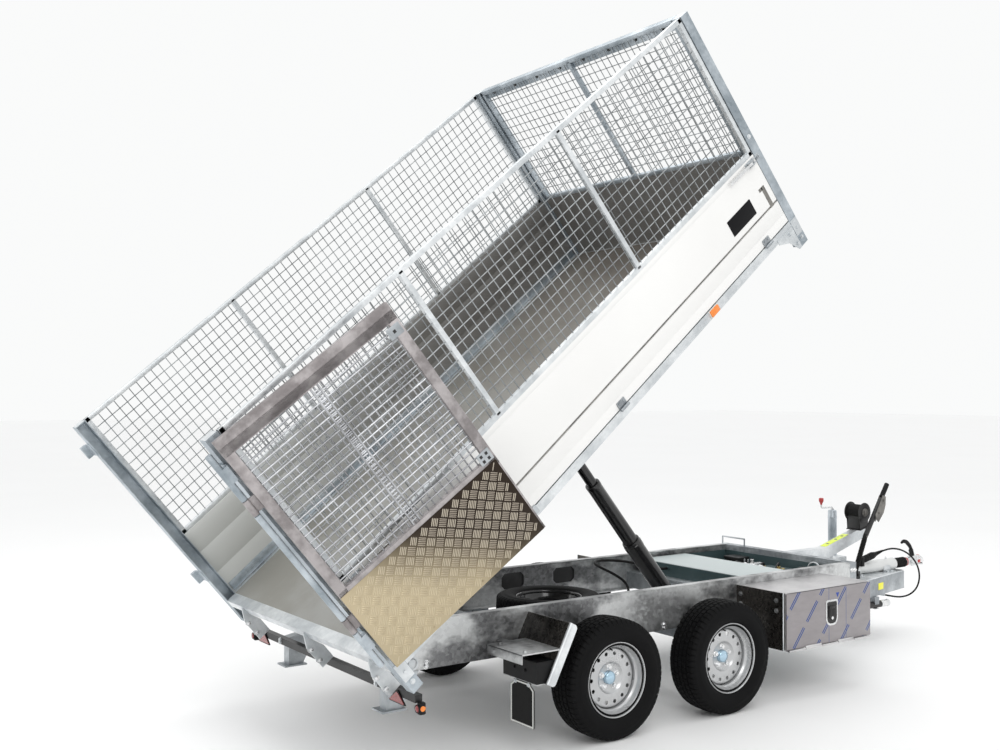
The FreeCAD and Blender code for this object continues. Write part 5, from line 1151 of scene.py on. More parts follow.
def pressed_head():
    """The coupling's pressed shell: an arched section lofted from the shank's circle to the wide cup and low nose."""
    # x, half width, top, bottom, arch power
    rows = [(3.072, 0.026, 0.489, 0.437, 2.0), (3.100, 0.031, 0.494, 0.432, 2.2), (3.125, 0.034, 0.499, 0.434, 2.8),
            (3.150, 0.037, 0.502, 0.435, 3.4), (3.180, 0.038, 0.502, 0.435, 3.6), (3.205, 0.038, 0.501, 0.435, 3.4),
            (3.225, 0.035, 0.494, 0.435, 3.0), (3.242, 0.028, 0.484, 0.436, 2.6), (3.252, 0.018, 0.474, 0.439, 2.2)]
    loops = []
    for x, w, top, bottom, power in rows:
        t = np.linspace(0, 2 * np.pi, 40, endpoint=False)
        c, s = np.cos(t), np.sin(t)
        y = w * np.sign(c) * abs(c) ** (2 / power)
        mid = 0.5 * (top + bottom)
        z = mid + 0.5 * (top - bottom) * np.sign(s) * abs(s) ** (2 / power)
        loops.append(np.stack([np.full(len(t), x), y, z], -1))
    return surface(np.stack(loops), caps=True)


skirt = turned([(0.0255, 0.0), (0.0385, 0.0), (0.0395, -0.004), (0.0395, -0.014), (0.0385, -0.015),
                (0.0262, -0.015)], BALL, Z, 48, True)
flange = []
for s in (1, -1):
    flange.append(beam((3.085, s * 0.034, 0.440), (3.205, s * 0.0395, 0.440), 0.003, 0.010, Z, 0.001))
    flange.append(bolt((3.100, s * 0.0325, 0.463), s * Y, 0.017, 0.011))
    flange.append(bolt((3.068, s * 0.029, 0.463), s * Y, 0.014, 0.009))
shank = turned([(0.024, 3.0506), (0.0285, 3.0506), (0.0298, 3.053), (0.0298, 3.078), (0.0275, 3.086)],
               (0, 0, OVERRUN_Z), X, 40)
red = [block((3.160, -0.0392, 0.452), (3.190, -0.0375, 0.474), 0.0008),
       block((3.160, 0.0375, 0.452), (3.190, 0.0392, 0.474), 0.0008),
       turned([(0.012, 0.0), (0.012, 0.004), (0.009, 0.0055)], (3.214, 0, 0.496), (0.25, 0, 1), 20),
       turned([(0.0285, 3.0535), (0.0312, 3.0545), (0.0312, 3.0665), (0.0285, 3.0675)], (0, 0, OVERRUN_Z), X, 40)]
piece("coupling_shell", "chassis", "galvanised", (join(pressed_head(), *flange, shank), CHROME),
      (skirt, BLACK_SATIN), (red, RED_PLASTIC), stands_for=["coupling_head"])


def grip_path(points, radii, sides=14):
    """A tube whose radius follows a spline-like smoothing of a few given radii."""
    path = bends(points, 0.03, 6)
    run = np.concatenate([[0], np.cumsum(np.linalg.norm(np.diff(path, axis=0), axis=1))])
    given = np.concatenate([[0], np.cumsum(np.linalg.norm(np.diff(np.array(points, float), axis=0), axis=1))])
    return tube(path, np.interp(run / run[-1], given / given[-1], radii), sides)


hand = grip_path([(3.152, 0, 0.500), (3.140, 0, 0.540), (3.118, 0, 0.572), (3.080, 0, 0.604), (3.046, 0, 0.612),
                  (3.022, 0, 0.600)], [0.010, 0.011, 0.013, 0.0145, 0.013, 0.008])
web_ = plate([(3.128, 0.502), (3.166, 0.502), (3.150, 0.548), (3.126, 0.556), (3.112, 0.540)], (0, 0.006, 0), X, Z,
             0.012)

# Handbrake lever: foot, ratchet quadrant, ribbed sleeve, folded lever with a cranked head, and grip
LEVER_Y = -0.110
lever = lambda x, z, dy=0.0: (x, LEVER_Y + dy, z)
foot = [block((2.300, LEVER_Y - 0.012, RAIL_Z + 0.008), (2.400, LEVER_Y - 0.004, 0.470), 0.001),
        block((2.300, LEVER_Y + 0.004, RAIL_Z + 0.008), (2.400, LEVER_Y + 0.012, 0.470), 0.001),
        plate([(2.312, 0.440), (2.392, 0.440), (2.398, 0.462), (2.384, 0.486), (2.352, 0.494), (2.320, 0.482)],
              lever(0, 0, 0.003), X, Z, 0.006)]
foot += [bolt(lever(x, 0.448, -0.012), -Y, 0.017, 0.010) for x in (2.325, 2.375)]
lever_foot, lever_knee = np.array(lever(2.350, 0.445)), np.array(lever(2.470, 0.700))
way, length = unit(lever_knee - lever_foot), np.linalg.norm(lever_knee - lever_foot)
sleeve_ribs = repeated([(0.0152, 0), (0.0180, 0.0018), (0.0180, 0.0062), (0.0152, 0.0082)],
                       [0.014 + (length - 0.030) * k / 24 for k in range(24)])
sleeve = turned([(0.009, 0.010), *sleeve_ribs, (0.0160, length - 0.008), (0.0160, length + 0.012),
                 (0.009, length + 0.014)], lever_foot, way, 24)
side_ = np.cross(unit(np.array(lever(2.650, 0.960)) - lever_knee), Y)
channel_ = [beam(lever(2.470, 0.700, dy), lever(2.640, 0.946, dy), 0.003, 0.026, side_, 0.0012)
            for dy in (0.0105, -0.0105)]
channel_.append(beam(lever_knee + 0.0115 * side_, np.array(lever(2.640, 0.946)) + 0.0115 * side_, 0.022, 0.003,
                     side_, 0.001))
head_ = [plate([(2.560, 0.815), (2.592, 0.790), (2.648, 0.852), (2.668, 0.905), (2.672, 0.960), (2.640, 0.972),
                (2.606, 0.915), (2.560, 0.845)], lever(0, 0, dy), X, Z, 0.003) for dy in (-0.0155, 0.0125)]
head_ += [bolt(lever(x, z, -0.0155), -Y, 0.015, 0.009) for x, z in ((2.600, 0.852), (2.648, 0.935))]
head_ += [rods([lever(2.600, 0.852, -0.015)], [lever(2.600, 0.852, 0.015)], 0.006, 14),
          rods([lever(2.470, 0.700, -0.016)], [lever(2.470, 0.700, 0.016)], 0.0075, 16)]
piece("lever_parts", "chassis", "black_steel", (foot, BLACK_SATIN), (sleeve, RUBBER), (channel_, BLACK_SATIN),
      (head_, GREY_STEEL), stands_for=["brake_lever"])
grip_start, grip_end = np.array(lever(2.6502, 0.9603)), np.array(lever(2.7102, 1.0470))
g = np.linalg.norm(grip_end - grip_start)
grip_ribs = [(0.0120, -0.004), (0.0150, 0.0), (0.0162, 0.006)]
grip_ribs += repeated([(0.0170, 0), (0.0170, 0.0058), (0.0160, 0.0068), (0.0160, 0.0086)],
                      [0.012 + (g - 0.030) * k / 7 for k in range(7)])
grip_ribs += [(0.0168, g - 0.014), (0.0166, g - 0.005), (0.0140, g - 0.001), (0.0060, g)]
piece("grips", "chassis", "black_plastic", (turned(grip_ribs, grip_start, grip_end - grip_start, 28), BLACK_PLASTIC),
      (join(hand, web_), BLACK_PLASTIC), stands_for=["hand_grips"])

# Winch on the kinked arm: drum with its strap, side plates, gear housing and foot
WINCH_X, WINCH_Z = 2.530, 0.854
WINCH = np.array((WINCH_X, 0, WINCH_Z))
ARM_KINK, ARM_END = (2.140, 0.637), (2.630, 0.770)
arm_tilt = math.atan2(ARM_END[1] - ARM_KINK[1], ARM_END[0] - ARM_KINK[0])
slope_up = (-math.sin(arm_tilt), 0, math.cos(arm_tilt))
arm_top = lambda x: ARM_KINK[1] + (ARM_END[1] - ARM_KINK[1]) * (x - ARM_KINK[0]) / (ARM_END[0] - ARM_KINK[0])
on_arm = lambda x, lift, y=0: (x, y, arm_top(x) + lift)
sides_ = []
for y0, y1 in ((-0.060, -0.055), (0.055, 0.060)):
    sides_.append(turned([(0.030, y0), (0.0635, y0), (0.066, y0 + 0.0012), (0.066, y1 - 0.0012), (0.0635, y1),
                          (0.030, y1)], WINCH, Y, 56))
turns = [(0.050 + 0.0016 * (k % 2), -0.050 + 0.100 * k / 26) for k in range(27)]
strap_ = [(0.020, -0.0545), *turns, (0.020, 0.0545)]
ratchet = turned([(0.012, 0.060), (0.030, 0.060), (0.034, 0.063), (0.034, 0.068), (0.030, 0.071), (0.016, 0.071),
                  (0.014, 0.078)], WINCH, Y, 40)
hub_near = turned([(0.012, -0.060), (0.028, -0.060), (0.028, -0.065), (0.019, -0.067), (0.019, -0.074),
                   (0.014, -0.076)], WINCH, Y, 40)
teeth = []
for k in range(20):
    a = 2 * np.pi * k / 20
    out = np.array((math.cos(a), 0, math.sin(a)))
    teeth.append(beam(WINCH + 0.032 * out + 0.0630 * Y, WINCH + 0.0385 * out + 0.0630 * Y, 0.005, 0.005, Y, 0.001))
foot_side = [(x, arm_top(x) + 0.0003) for x in (WINCH_X - 0.040, WINCH_X + 0.040)]
foot_side += [(WINCH_X + dx, WINCH_Z - 0.022) for dx in (0.048, -0.048)]
foot_parts = [plate(foot_side, (0, y, 0), X, Z, 0.004) for y in (-0.051, 0.055)]
foot_parts.append(beam(on_arm(WINCH_X - 0.044, 0.0030), on_arm(WINCH_X + 0.044, 0.0030), 0.122, 0.005, Z, 0.001))
foot_parts += [bolt(on_arm(WINCH_X + dx, 0.0055, y), slope_up, 0.015, 0.010)
               for dx in (-0.028, 0.028) for y in (-0.018, 0.018)]
housing_ = [block((WINCH_X - 0.043, -0.050, arm_top(WINCH_X) - 0.004), (WINCH_X + 0.043, 0.050, WINCH_Z - 0.020),
                  0.006),
            turned([(0.010, 0.060), (0.024, 0.060), (0.026, 0.063), (0.026, 0.074), (0.022, 0.078)],
                   (WINCH_X + 0.010, 0, WINCH_Z - 0.046), Y, 32)]
housing_ += [rods([(WINCH_X + dx, -0.057, WINCH_Z - dz)], [(WINCH_X + dx, 0.057, WINCH_Z - dz)], 0.005, 12)
             for dx, dz in ((-0.042, 0.036), (0.046, 0.030))]
piece("winch_parts", "chassis", "black_steel", (join(*sides_, *foot_parts, *housing_), BLACK_SATIN),
      (turned(strap_, WINCH, Y, 48), RUBBER), (join(ratchet, hub_near, *teeth), GREY_STEEL), stands_for=["winch"])

# The kinked arm: a folded box section with end cap, stickers and bolts
arm_side = [(1.810, 0.637), ARM_KINK, ARM_END, (2.610, 0.690), (2.150, 0.557), (1.810, 0.557)]
arm_body = plate(arm_side, (0, 0.030, 0), X, Z, 0.060)
label = beam(on_arm(2.165, 0.0006), on_arm(2.400, 0.0006), 0.050, 0.0010, slope_up, 0.0003)
marks = [beam(on_arm(x, 0.0012), on_arm(x + 0.016, 0.0012), 0.020, 0.0008, slope_up, 0.0002)
         for x in (2.205, 2.290, 2.355)]
arm_bolts = [bolt((1.850 + 0.060 * k, s * 0.030, 0.600), s * Y, 0.018, 0.010) for k in range(2) for s in (1, -1)]
arm_flange = [block((1.808, -0.048, 0.560), (1.814, 0.048, 0.634), 0.001)]
arm_flange += [bolt((1.814, s * 0.040, z), X, 0.014, 0.008) for s in (1, -1) for z in (0.575, 0.620)]
piece("winch_arm_body", "chassis", "galvanised", (join(arm_body, *arm_bolts, *arm_flange), GALV_BRIGHT),
      (label, LIME), (marks, GREY_STEEL), bevel=0.0025, stands_for=["winch_arm"])

# Jockey wheel: clamped tube, screw crank with its red knob, fork and wheel
JACK_X, JACK_Y = 2.575, 0.250
JACK = np.array((JACK_X, JACK_Y, 0.0))
jack_tube = turned([(0.0242, 0.450), (0.0285, 0.450), (0.030, 0.452), (0.030, 0.780), (0.0315, 0.783),
                    (0.0315, 0.8005), (0.030, 0.8035), (0.030, 0.832), (0.028, 0.840), (0.012, 0.844),
                    (0.012, 0.8455), (0.0085, 0.8455)], JACK, Z, 48, False)
# The drawbar arm's outer face runs from 0.380 m at x 1.450 m to 0.060 m at x 2.960 m
edge_y = 0.380 + (0.060 - 0.380) * (JACK_X - 1.450) / (2.960 - 1.450)
bracket = [plate([(2.540, edge_y - 0.030), (2.610, edge_y - 0.040), (2.610, 0.222), (2.540, 0.222)],
                 (0, 0, RAIL_Z + 0.008), X, Y, 0.012),
           block((2.541, edge_y + 0.012, RAIL_Z + 0.019), (2.609, 0.222, RAIL_Z + 0.108), 0.003)]
collar = [turned([(0.0303, z), (0.037, z + 0.001), (0.037, z + 0.024), (0.0303, z + 0.025)], JACK, Z, 40, True)
          for z in (0.436 + 0.016, 0.500)]
clamp_bar = [rods([(JACK_X + 0.050, 0.215, 0.513)], [(JACK_X + 0.050, 0.300, 0.513)], 0.006, 12),
             tube(bends([(2.625, 0.300, 0.513), (2.625, 0.312, 0.513), (2.590, 0.312, 0.480)], 0.01), 0.0045, 10)]
piece("jack_housing", "chassis", "galvanised", (jack_tube, GALV_POST),
      (join(*bracket, *collar, *clamp_bar), GALV_BRIGHT), stands_for=["jack_tube"])
crank_x = JACK_X - 0.120
crank = tube(bends([(JACK_X, JACK_Y, 0.844), (JACK_X, JACK_Y, 0.862), (crank_x, JACK_Y, 0.864),
                    (crank_x, JACK_Y, 0.888)], 0.012), 0.006, 12)
knob = turned([(0.005, 0.0), (0.0072, 0.004), (0.0082, 0.012), (0.0130, 0.020), (0.0165, 0.028), (0.0170, 0.036),
               (0.0165, 0.044), (0.0150, 0.049), (0.0110, 0.050)], (crank_x, JACK_Y, 0.884), Z, 30)
piece("jack_crank_knob", "chassis", "galvanised",
      (join(crank, turned([(0.009, 0.8445), (0.011, 0.846), (0.011, 0.852), (0.009, 0.854)], JACK, Z, 6)), CHROME),
      (knob, RED_PLASTIC), stands_for=["jack_crank"])
FORK_X, FORK_TOP, FORK_AXLE, CHEEK = 2.545, 0.236, 0.100, 0.032
crown = block((2.515, JACK_Y - CHEEK - 0.005, FORK_TOP - 0.008), (2.601, JACK_Y + CHEEK + 0.005, FORK_TOP), 0.003)
legs_ = [plate([(2.525, 0.082), (2.532, 0.076), (2.558, 0.076), (2.565, 0.082), (2.601, FORK_TOP - 0.004),
                (2.515, FORK_TOP - 0.004)], (0, JACK_Y + y, 0), X, Z, 0.005) for y in (CHEEK + 0.005, -CHEEK)]
axle_ = [rods([(FORK_X, JACK_Y - CHEEK - 0.008, FORK_AXLE)], [(FORK_X, JACK_Y + CHEEK + 0.008, FORK_AXLE)], 0.0078,
              16)]
axle_ += [bolt((FORK_X, JACK_Y + s * (CHEEK + 0.005), FORK_AXLE), s * Y, 0.012, 0.0028, False) for s in (1, -1)]
piece("jack_fork_cheeks", "jockey_fork", "galvanised", (join(crown, *legs_, *axle_), GALV_BRIGHT),
      stands_for=["jack_fork"])
wheel = lambda profile, n=44: turned(profile, (FORK_X, JACK_Y, FORK_AXLE), Y, n, True)
tyre_ = wheel([(0.078, -0.013), (0.082, -0.023), (0.090, -0.025), (0.0965, -0.021), (0.0995, -0.013),
               (0.0999, -0.005), (0.0985, -0.0035), (0.0985, 0.0035), (0.0999, 0.005), (0.0995, 0.013),
               (0.0965, 0.021), (0.090, 0.025), (0.082, 0.023), (0.078, 0.013)], 60)
disc_ = wheel([(0.0083, -0.028), (0.024, -0.028), (0.026, -0.022), (0.030, -0.013), (0.060, -0.010),
               (0.076, -0.013), (0.080, -0.013), (0.080, 0.013), (0.076, 0.013), (0.060, 0.010), (0.030, 0.013),
               (0.026, 0.022), (0.024, 0.028), (0.0083, 0.028)])
piece("jack_roller", "jockey_wheel", "tyre", (tyre_, RUBBER), (disc_, RED_PLASTIC), stands_for=["jack_wheel"])


# Mudguards with rolled edges, the chock and flap behind them, lamps
GUARD_TOP, GUARD_FOOT = np.array((-0.700, 0.612)), np.array((-0.840, 0.345))


def guard_back(z):
    """Where the sloping guard's back face is at a height: foot + (top - foot) · share, less its thickness."""
    (x0, z0), (x1, z1) = GUARD_FOOT, GUARD_TOP
    return x0 + (x1 - x0) * (z - z0) / (z1 - z0) - 0.003


def guard(top, foot, roll_r):
    """A flat plate from the rail outward, and the 300 degree roll along its outer edge."""
    (x0, z0), (x1, z1) = top, foot
    away = unit((z0 - z1, 0, -(x0 - x1)))
    start, end = np.array((x0 - 0.0015, 0, z0)), np.array((x1 - 0.0015, 0, z1))
    sheet_ = plate([(x0, z0), (x1, z1), (x1 - 0.003, z1), (x0 - 0.003, z0)], (0, 0.880 - 0.5 * roll_r, 0), X, Z,
                   0.336 - 0.5 * roll_r)
    a = np.linspace(-2.6, 2.6, 18)
    outer = np.stack([roll_r * np.cos(a), roll_r * np.sin(a)], -1)
    inner = np.stack([(roll_r - 0.0022) * np.cos(a[::-1]), (roll_r - 0.0022) * np.sin(a[::-1])], -1)
    section = np.concatenate([outer, inner])
    loop = section[:, :1] * Y + section[:, 1:] * away + (0, 0.880, 0)
    return sheet_, surface(np.stack([loop + start, loop + end]), caps=True)


rear_sheet, rear_roll = guard(GUARD_TOP, GUARD_FOOT, 0.009)
climb = unit(GUARD_TOP - GUARD_FOOT)
ahead = np.array((climb[1], -climb[0]))
band_length = np.linalg.norm(GUARD_TOP - GUARD_FOOT)
band_edge = np.array([(0, -0.003), (0, 0.030), (0.005, 0.039), (0.014, 0.044), (band_length - 0.014, 0.044),
                      (band_length - 0.005, 0.039), (band_length, 0.030), (band_length, -0.003)])
band = plate(GUARD_FOOT + band_edge[:, :1] * climb + band_edge[:, 1:] * ahead, (0, 0.880, 0), X, Z, 0.0025)
front_sheet, front_roll = guard((0.759, 0.600), (0.759, 0.290), 0.0032)
front_bolts = join(*[bolt((0.7555, y, z), -X, 0.018, 0.010) for y in (0.835, 0.575) for z in (0.555, 0.500)])
shelf = [plate([(-0.985, 0.494), (guard_back(0.494), 0.494), (guard_back(0.500), 0.500), (-0.985, 0.500)],
               (0, 0.879, 0), X, Z, 0.279),
         block((-0.985, 0.600, 0.455), (-0.982, 0.879, 0.499), 0.001),
         block((-0.893, 0.544, 0.494), (-0.853, 0.603, 0.500), 0.001),
         block((-0.893, 0.602, 0.345), (guard_back(0.347), 0.866, 0.349), 0.001),
         block((-0.893, 0.694, 0.331), (-0.889, 0.824, 0.347), 0.001),
         beam((-0.9838, 0.600, 0.456), (-0.9838, 0.879, 0.456), 0.0034, 0.004, Z, 0.001)]
shelf_bolts = [bolt((-0.940, y, 0.500), Z, 0.016, 0.009) for y in (0.640, 0.840)]
shelf_bolts += [bolt((-0.985, y, 0.474), -X, 0.014, 0.008) for y in (0.650, 0.830)]
chock_z0, chock_z1 = 0.349, 0.450
chock_side = [(-0.893, chock_z0), (guard_back(chock_z0) - 0.001, chock_z0),
              (guard_back(chock_z1) - 0.001, chock_z1), (-0.890, chock_z1), (-0.893, chock_z1 - 0.003)]
chock = plate(chock_side, (0, 0.866, 0), X, Z, 0.266)
chock_ribs = [bolt((-0.893, y, 0.400), -X, 0.012, 0.007) for y in (0.690, 0.776)]
flap_outline = [(0.668, 0.146), (0.672, 0.142), (0.846, 0.142), (0.850, 0.146), (0.850, 0.318), (0.825, 0.336),
                (0.825, 0.345), (0.693, 0.345), (0.693, 0.336), (0.668, 0.318)]
flap = plate(flap_outline, (-0.898, 0, 0), Y, Z, 0.005)
rim_out = [(0.670, 0.144), (0.848, 0.144), (0.848, 0.317), (0.823, 0.335), (0.823, 0.343), (0.695, 0.343),
           (0.695, 0.335), (0.670, 0.317)]
rim_in = [(0.678, 0.152), (0.840, 0.152), (0.840, 0.313), (0.815, 0.331), (0.815, 0.336), (0.703, 0.336),
          (0.703, 0.331), (0.678, 0.313)]
border_steps = ((-0.898, rim_out), (-0.899, rim_out), (-0.899, rim_in), (-0.898, rim_in))
border = surface([[(x, y, z) for y, z in rim] for x, rim in border_steps], (True, True))
flap_bolts = [bolt((-0.898, y, 0.338), -X, 0.013, 0.007) for y in (0.708, 0.810)]


def left_only(side, node):
    """What a side's piece replaces: the CAD node holds both sides, so the left piece alone names it."""
    return [node] if side == "left" else ()


for side, turn_ in (("left", lambda s: s), ("right", flipped)):
    # Guard sheets: zinc with painted shadow and dark reflection
    piece(f"guards_{side}", "chassis", "galvanised", (turn_(join(rear_sheet, front_sheet)), GUARD_PAINTED_SHADOW),
          (turn_(join(rear_roll, front_roll, band)), GALV_BRIGHT),
          (turn_(join(*shelf, *shelf_bolts, front_bolts)), GALV_RAIL), stands_for=left_only(side, "mudguards"))
    piece(f"chock_{side}", "chassis", "black_plastic", (turn_(join(chock, *chock_ribs)), BLACK_PLASTIC),
          stands_for=left_only(side, "wheel_chocks"))
    piece(f"flap_{side}", "chassis", "rubber", (turn_(flap), RUBBER), (turn_(border), LIGHT_EDGE),
          (turn_(join(*flap_bolts)), GALV_BRIGHT), stands_for=left_only(side, "mud_flaps"))

BAR_X, BAR_Y, BAR_Z = -1.535, 0.860, 0.366
bar_section = [(-0.0175, -0.017), (0.0175, -0.017), (0.0175, -0.014), (-0.0145, -0.014), (-0.0145, 0.014),
               (0.0175, 0.014), (0.0175, 0.017), (-0.0175, 0.017)]
light_bar = carried(bar_section, [(BAR_X + 0.0175, BAR_Y, BAR_Z + 0.017), (BAR_X + 0.0175, -BAR_Y, BAR_Z + 0.017)])
bar_ends = [block((BAR_X, s * BAR_Y - 0.0015, BAR_Z), (BAR_X + 0.035, s * BAR_Y + 0.0015, BAR_Z + 0.034), 0.001)
            for s in (1, -1)]
bar_bolts = [bolt((BAR_X, s * 0.517, BAR_Z + dz), -X, 0.015, 0.009) for s in (1, -1) for dz in (0.010, 0.024)]
piece("light_bar_channel", "chassis", "black_steel", (join(light_bar, *bar_ends), BLACK_SATIN),
      (bar_bolts, GALV_BRIGHT), stands_for=["light_bar"])


def triangle(half, low, high, radius, steps=5):
    """An upright triangle whose three corners are rounded."""
    corners = np.array([(-half, low), (half, low), (0, high)], float)
    outline = []
    for k in range(3):
        before, corner, after = corners[k - 1], corners[k], corners[(k + 1) % 3]
        first, last = corner + radius * unit(before - corner), corner + radius * unit(after - corner)
        t = np.linspace(0, 1, steps)[:, None]
        outline += list((1 - t) ** 2 * first + 2 * t * (1 - t) * corner + t ** 2 * last)
    return np.array(outline)


def lamp_layer(outline, mid, x0, x1):
    """An outline of (y, z) points about a lamp's middle, as thick as from x0 to x1."""
    loop = lambda x: np.stack([np.full(len(outline), x), outline[:, 0] + mid, outline[:, 1] + BAR_Z], -1)
    return surface(np.stack([loop(x0), loop(x1)]), caps=True)


for side, s in (("left", 1), ("right", -1)):
    mid = s * (BAR_Y - 0.145)
    shell_ = lamp_layer(triangle(0.075, -0.031, 0.030 + 0.001, 0.014), mid, BAR_X, BAR_X - 0.0055)
    glass = lamp_layer(triangle(0.067, -0.026, 0.022, 0.013), mid, BAR_X - 0.0052, BAR_X - 0.0080)
    y0, y1 = s * BAR_Y, s * (BAR_Y + 0.036)
    low, high = min(y0, y1), max(y0, y1)
    arm = block((BAR_X + 0.004, low + 0.004, BAR_Z - 0.046), (BAR_X + 0.036, high - 0.006, BAR_Z + 0.006), 0.006)
    lens_rear = dome((BAR_X + 0.003, 0.5 * (low + high), BAR_Z - 0.020), -X, 0.0165, 0.0105, 28, 7)
    lens_front = dome((BAR_X + 0.030, 0.5 * (low + high), BAR_Z - 0.020), X, 0.0150, 0.0098, 28, 7)
    side_lens = turned([(0.012, 0.0), (0.012, 0.002), (0.010, 0.004)],
                       (BAR_X + 0.019, s * (BAR_Y + 0.0315), BAR_Z - 0.020), s * Y, 24)
    ring = turned([(0.0165, 0.0), (0.0178, 0.001), (0.0178, 0.006), (0.0165, 0.007)],
                  (BAR_X + 0.0035, 0.5 * (low + high), BAR_Z - 0.020), -X, 28, True)
    piece(f"lamps_{side}", "chassis", "lamp_red", (join(glass, lens_rear), RED_LENS),
          (join(shell_, arm, ring), BLACK_PLASTIC), (join(lens_front, side_lens), AMBER_LENS),
          stands_for=left_only(side, "rear_lamps"))


# Telescopic cylinder: barrel with its gland ring and port, and the three polished or painted stages
CYL = np.array((0.830, 0.0, 0.352))
EYE_DU, EYE_DV = 1.800 - 0.177, -0.100 + 0.285
EYE = PIVOT + np.array((EYE_DU * math.cos(TILT) - EYE_DV * math.sin(TILT), 0,
                        EYE_DU * math.sin(TILT) + EYE_DV * math.cos(TILT)))
CYL_WAY, CYL_LENGTH = unit(EYE - CYL), np.linalg.norm(EYE - CYL)
BARREL_TOP, STROKES = 0.604, (0.450, 0.880)
along = lambda profile, n=56, closed=False: turned(profile, CYL, CYL_WAY, n, closed)
BORE = 0.0460 + 0.0003
barrel = along([(BORE, 0.0730), (BORE, BARREL_TOP), (0.0500, BARREL_TOP), (0.0530, BARREL_TOP - 0.002),
                (0.0545, BARREL_TOP - 0.006), (0.0545, BARREL_TOP - 0.022), (0.0570, BARREL_TOP - 0.025),
                (0.0570, BARREL_TOP - 0.058), (0.0545, BARREL_TOP - 0.061), (0.0545, 0.072), (0.0570, 0.068),
                (0.0570, 0.034), (0.0540, 0.030), (0.020, 0.030), (0.020, 0.0725)], closed=True)
foot_ = turned([(0.0202, -0.053), (0.034, -0.053), (0.036, -0.051), (0.036, 0.051), (0.034, 0.053),
                (0.0202, 0.053)], CYL, Y, 48, True)
port_side = np.cross(CYL_WAY, Y)
port = [turned([(0.013, 0.050), (0.013, 0.062), (0.010, 0.062), (0.010, 0.066)], CYL + 0.100 * CYL_WAY, -port_side,
               20)]
piece("barrel", "cylinder", "black_steel", (join(barrel, foot_), BLACK_GLOSS), (port, CHROME),
      stands_for=["cylinder_barrel"])


def stage_shape(bore, lip, chamfer, outer, wall, start, gap, stroke, gland):
    """A stage of the cylinder: a tube with a collar at its start and a chamfered gland at its top."""
    start, top = start + stroke, BARREL_TOP + gap + stroke
    return along([(bore, start), (bore, top), (lip, top), (chamfer, top - 0.002), (outer, top - 0.006),
                  (outer, top - gland), (wall, top - gland - 0.003), (wall, start + 0.005), (outer, start + 0.003),
                  (outer, start)], closed=True)


stage1 = stage_shape(0.0328, 0.0420, 0.0445, 0.0458, 0.0448, 0.075, 0.003, STROKES[0], 0.030)
piece("stage_1_tube", "stage_1", "black_steel", (stage1, BLACK_GLOSS), stands_for=["cylinder_stage1"])
stage2 = stage_shape(0.0223, 0.0290, 0.0312, 0.0323, 0.0315, 0.080, 0.006, STROKES[1], 0.026)
piece("stage_2_tube", "stage_2", "black_steel", (stage2, BLACK_GLOSS), stands_for=["cylinder_stage2"])
start = 0.085 + CYL_LENGTH - 0.643
stage3 = along([(0.0219, start), (0.0219, CYL_LENGTH - 0.028), (0.0200, CYL_LENGTH - 0.020)], 44)
eye = turned([(0.010, -0.0677), (0.026, -0.0677), (0.0300, -0.064), (0.0300, -0.030), (0.0285, -0.027),
              (0.0285, 0.027), (0.0300, 0.030), (0.0300, 0.064), (0.026, 0.0677), (0.010, 0.0677)], EYE, Y, 40)
piece("stage_3_rod", "stage_3", "black_steel", (stage3, BLACK_GLOSS), (eye, BLACK_GLOSS),
      stands_for=["cylinder_stage3"])
circlip = turned([(0.012, 0.0), (0.030, 0.0), (0.030, 0.004), (0.0215, 0.0065), (0.0215, 0.010), (0.016, 0.011)],
                 CYL - (0, 0.0782, 0), -Y, 32)
cradle_bolts = [bolt((x, s * 0.078, z), s * Y, 0.017, 0.010) for s in (1, -1)
                for x, z in ((0.860, 0.330), (0.872, 0.480), (0.858, 0.500))]
piece("cradle_hardware", "chassis", "galvanised", (join(circlip, *cradle_bolts), CHROME))

# Pump: tank with its seam and filler, motor with end bells, valve block with solenoids, and their screws
motor = turned([(0.040, 0.060), (0.050, 0.060), (0.052, 0.063), (0.052, 0.076), (0.0485, 0.078), (0.0485, 0.200),
                (0.052, 0.202), (0.052, 0.218), (0.046, 0.226), (0.030, 0.230)], (1.560, 0, 0.520), Y, 48)
tank = [block((1.482, -0.328, 0.443), (1.678, 0.038, 0.558), 0.014),
        block((1.480, -0.330, 0.536), (1.680, 0.040, 0.544), 0.004)]
filler = turned([(0.016, 0.0), (0.016, 0.010), (0.021, 0.012), (0.021, 0.026), (0.018, 0.030), (0.006, 0.031)],
                (1.630, -0.270, 0.556), Z, 28)
valve = [block((1.500, 0.032, 0.462), (1.620, 0.068, 0.578), 0.003),
         rods([(1.530, 0.050, 0.576)], [(1.530, 0.050, 0.604)], 0.012, 20)]
solenoids = [turned([(0.006, 0.0), (0.011, 0.001), (0.011, 0.012), (0.016, 0.014), (0.016, 0.046), (0.013, 0.050),
                     (0.006, 0.050), (0.006, 0.058)], (1.505, y, 0.560), (-0.9, 0, 0.35), 22)
             for y in (0.052, -0.010, -0.075)]
brass = [bolt((x, y, 0.558), Z, 0.022, 0.016) for x, y in ((1.540, -0.040), (1.600, -0.110), (1.560, -0.180))]
brass.append(bolt((1.560, 0.230, 0.520), Y, 0.014, 0.008))
terminals = [rods([(1.600, 0.150 + 0.030 * k, 0.566)], [(1.600, 0.150 + 0.030 * k, 0.586)], 0.0045, 12)
             for k in range(2)]
pipes_ = [tube(bends([(1.540, -0.040, 0.570), (1.540, -0.040, 0.592), (1.480, -0.060, 0.588),
                      (1.430, -0.120, 0.560), (1.420, -0.140, 0.500)], 0.03, 6), 0.006, 10),
          tube(bends([(1.600, -0.110, 0.570), (1.600, -0.110, 0.596), (1.520, -0.160, 0.586),
                      (1.440, -0.220, 0.540), (1.430, -0.240, 0.470)], 0.03, 6), 0.006, 10)]
relay = block((1.640, 0.270, 0.443), (1.735, 0.400, 0.575), 0.006)
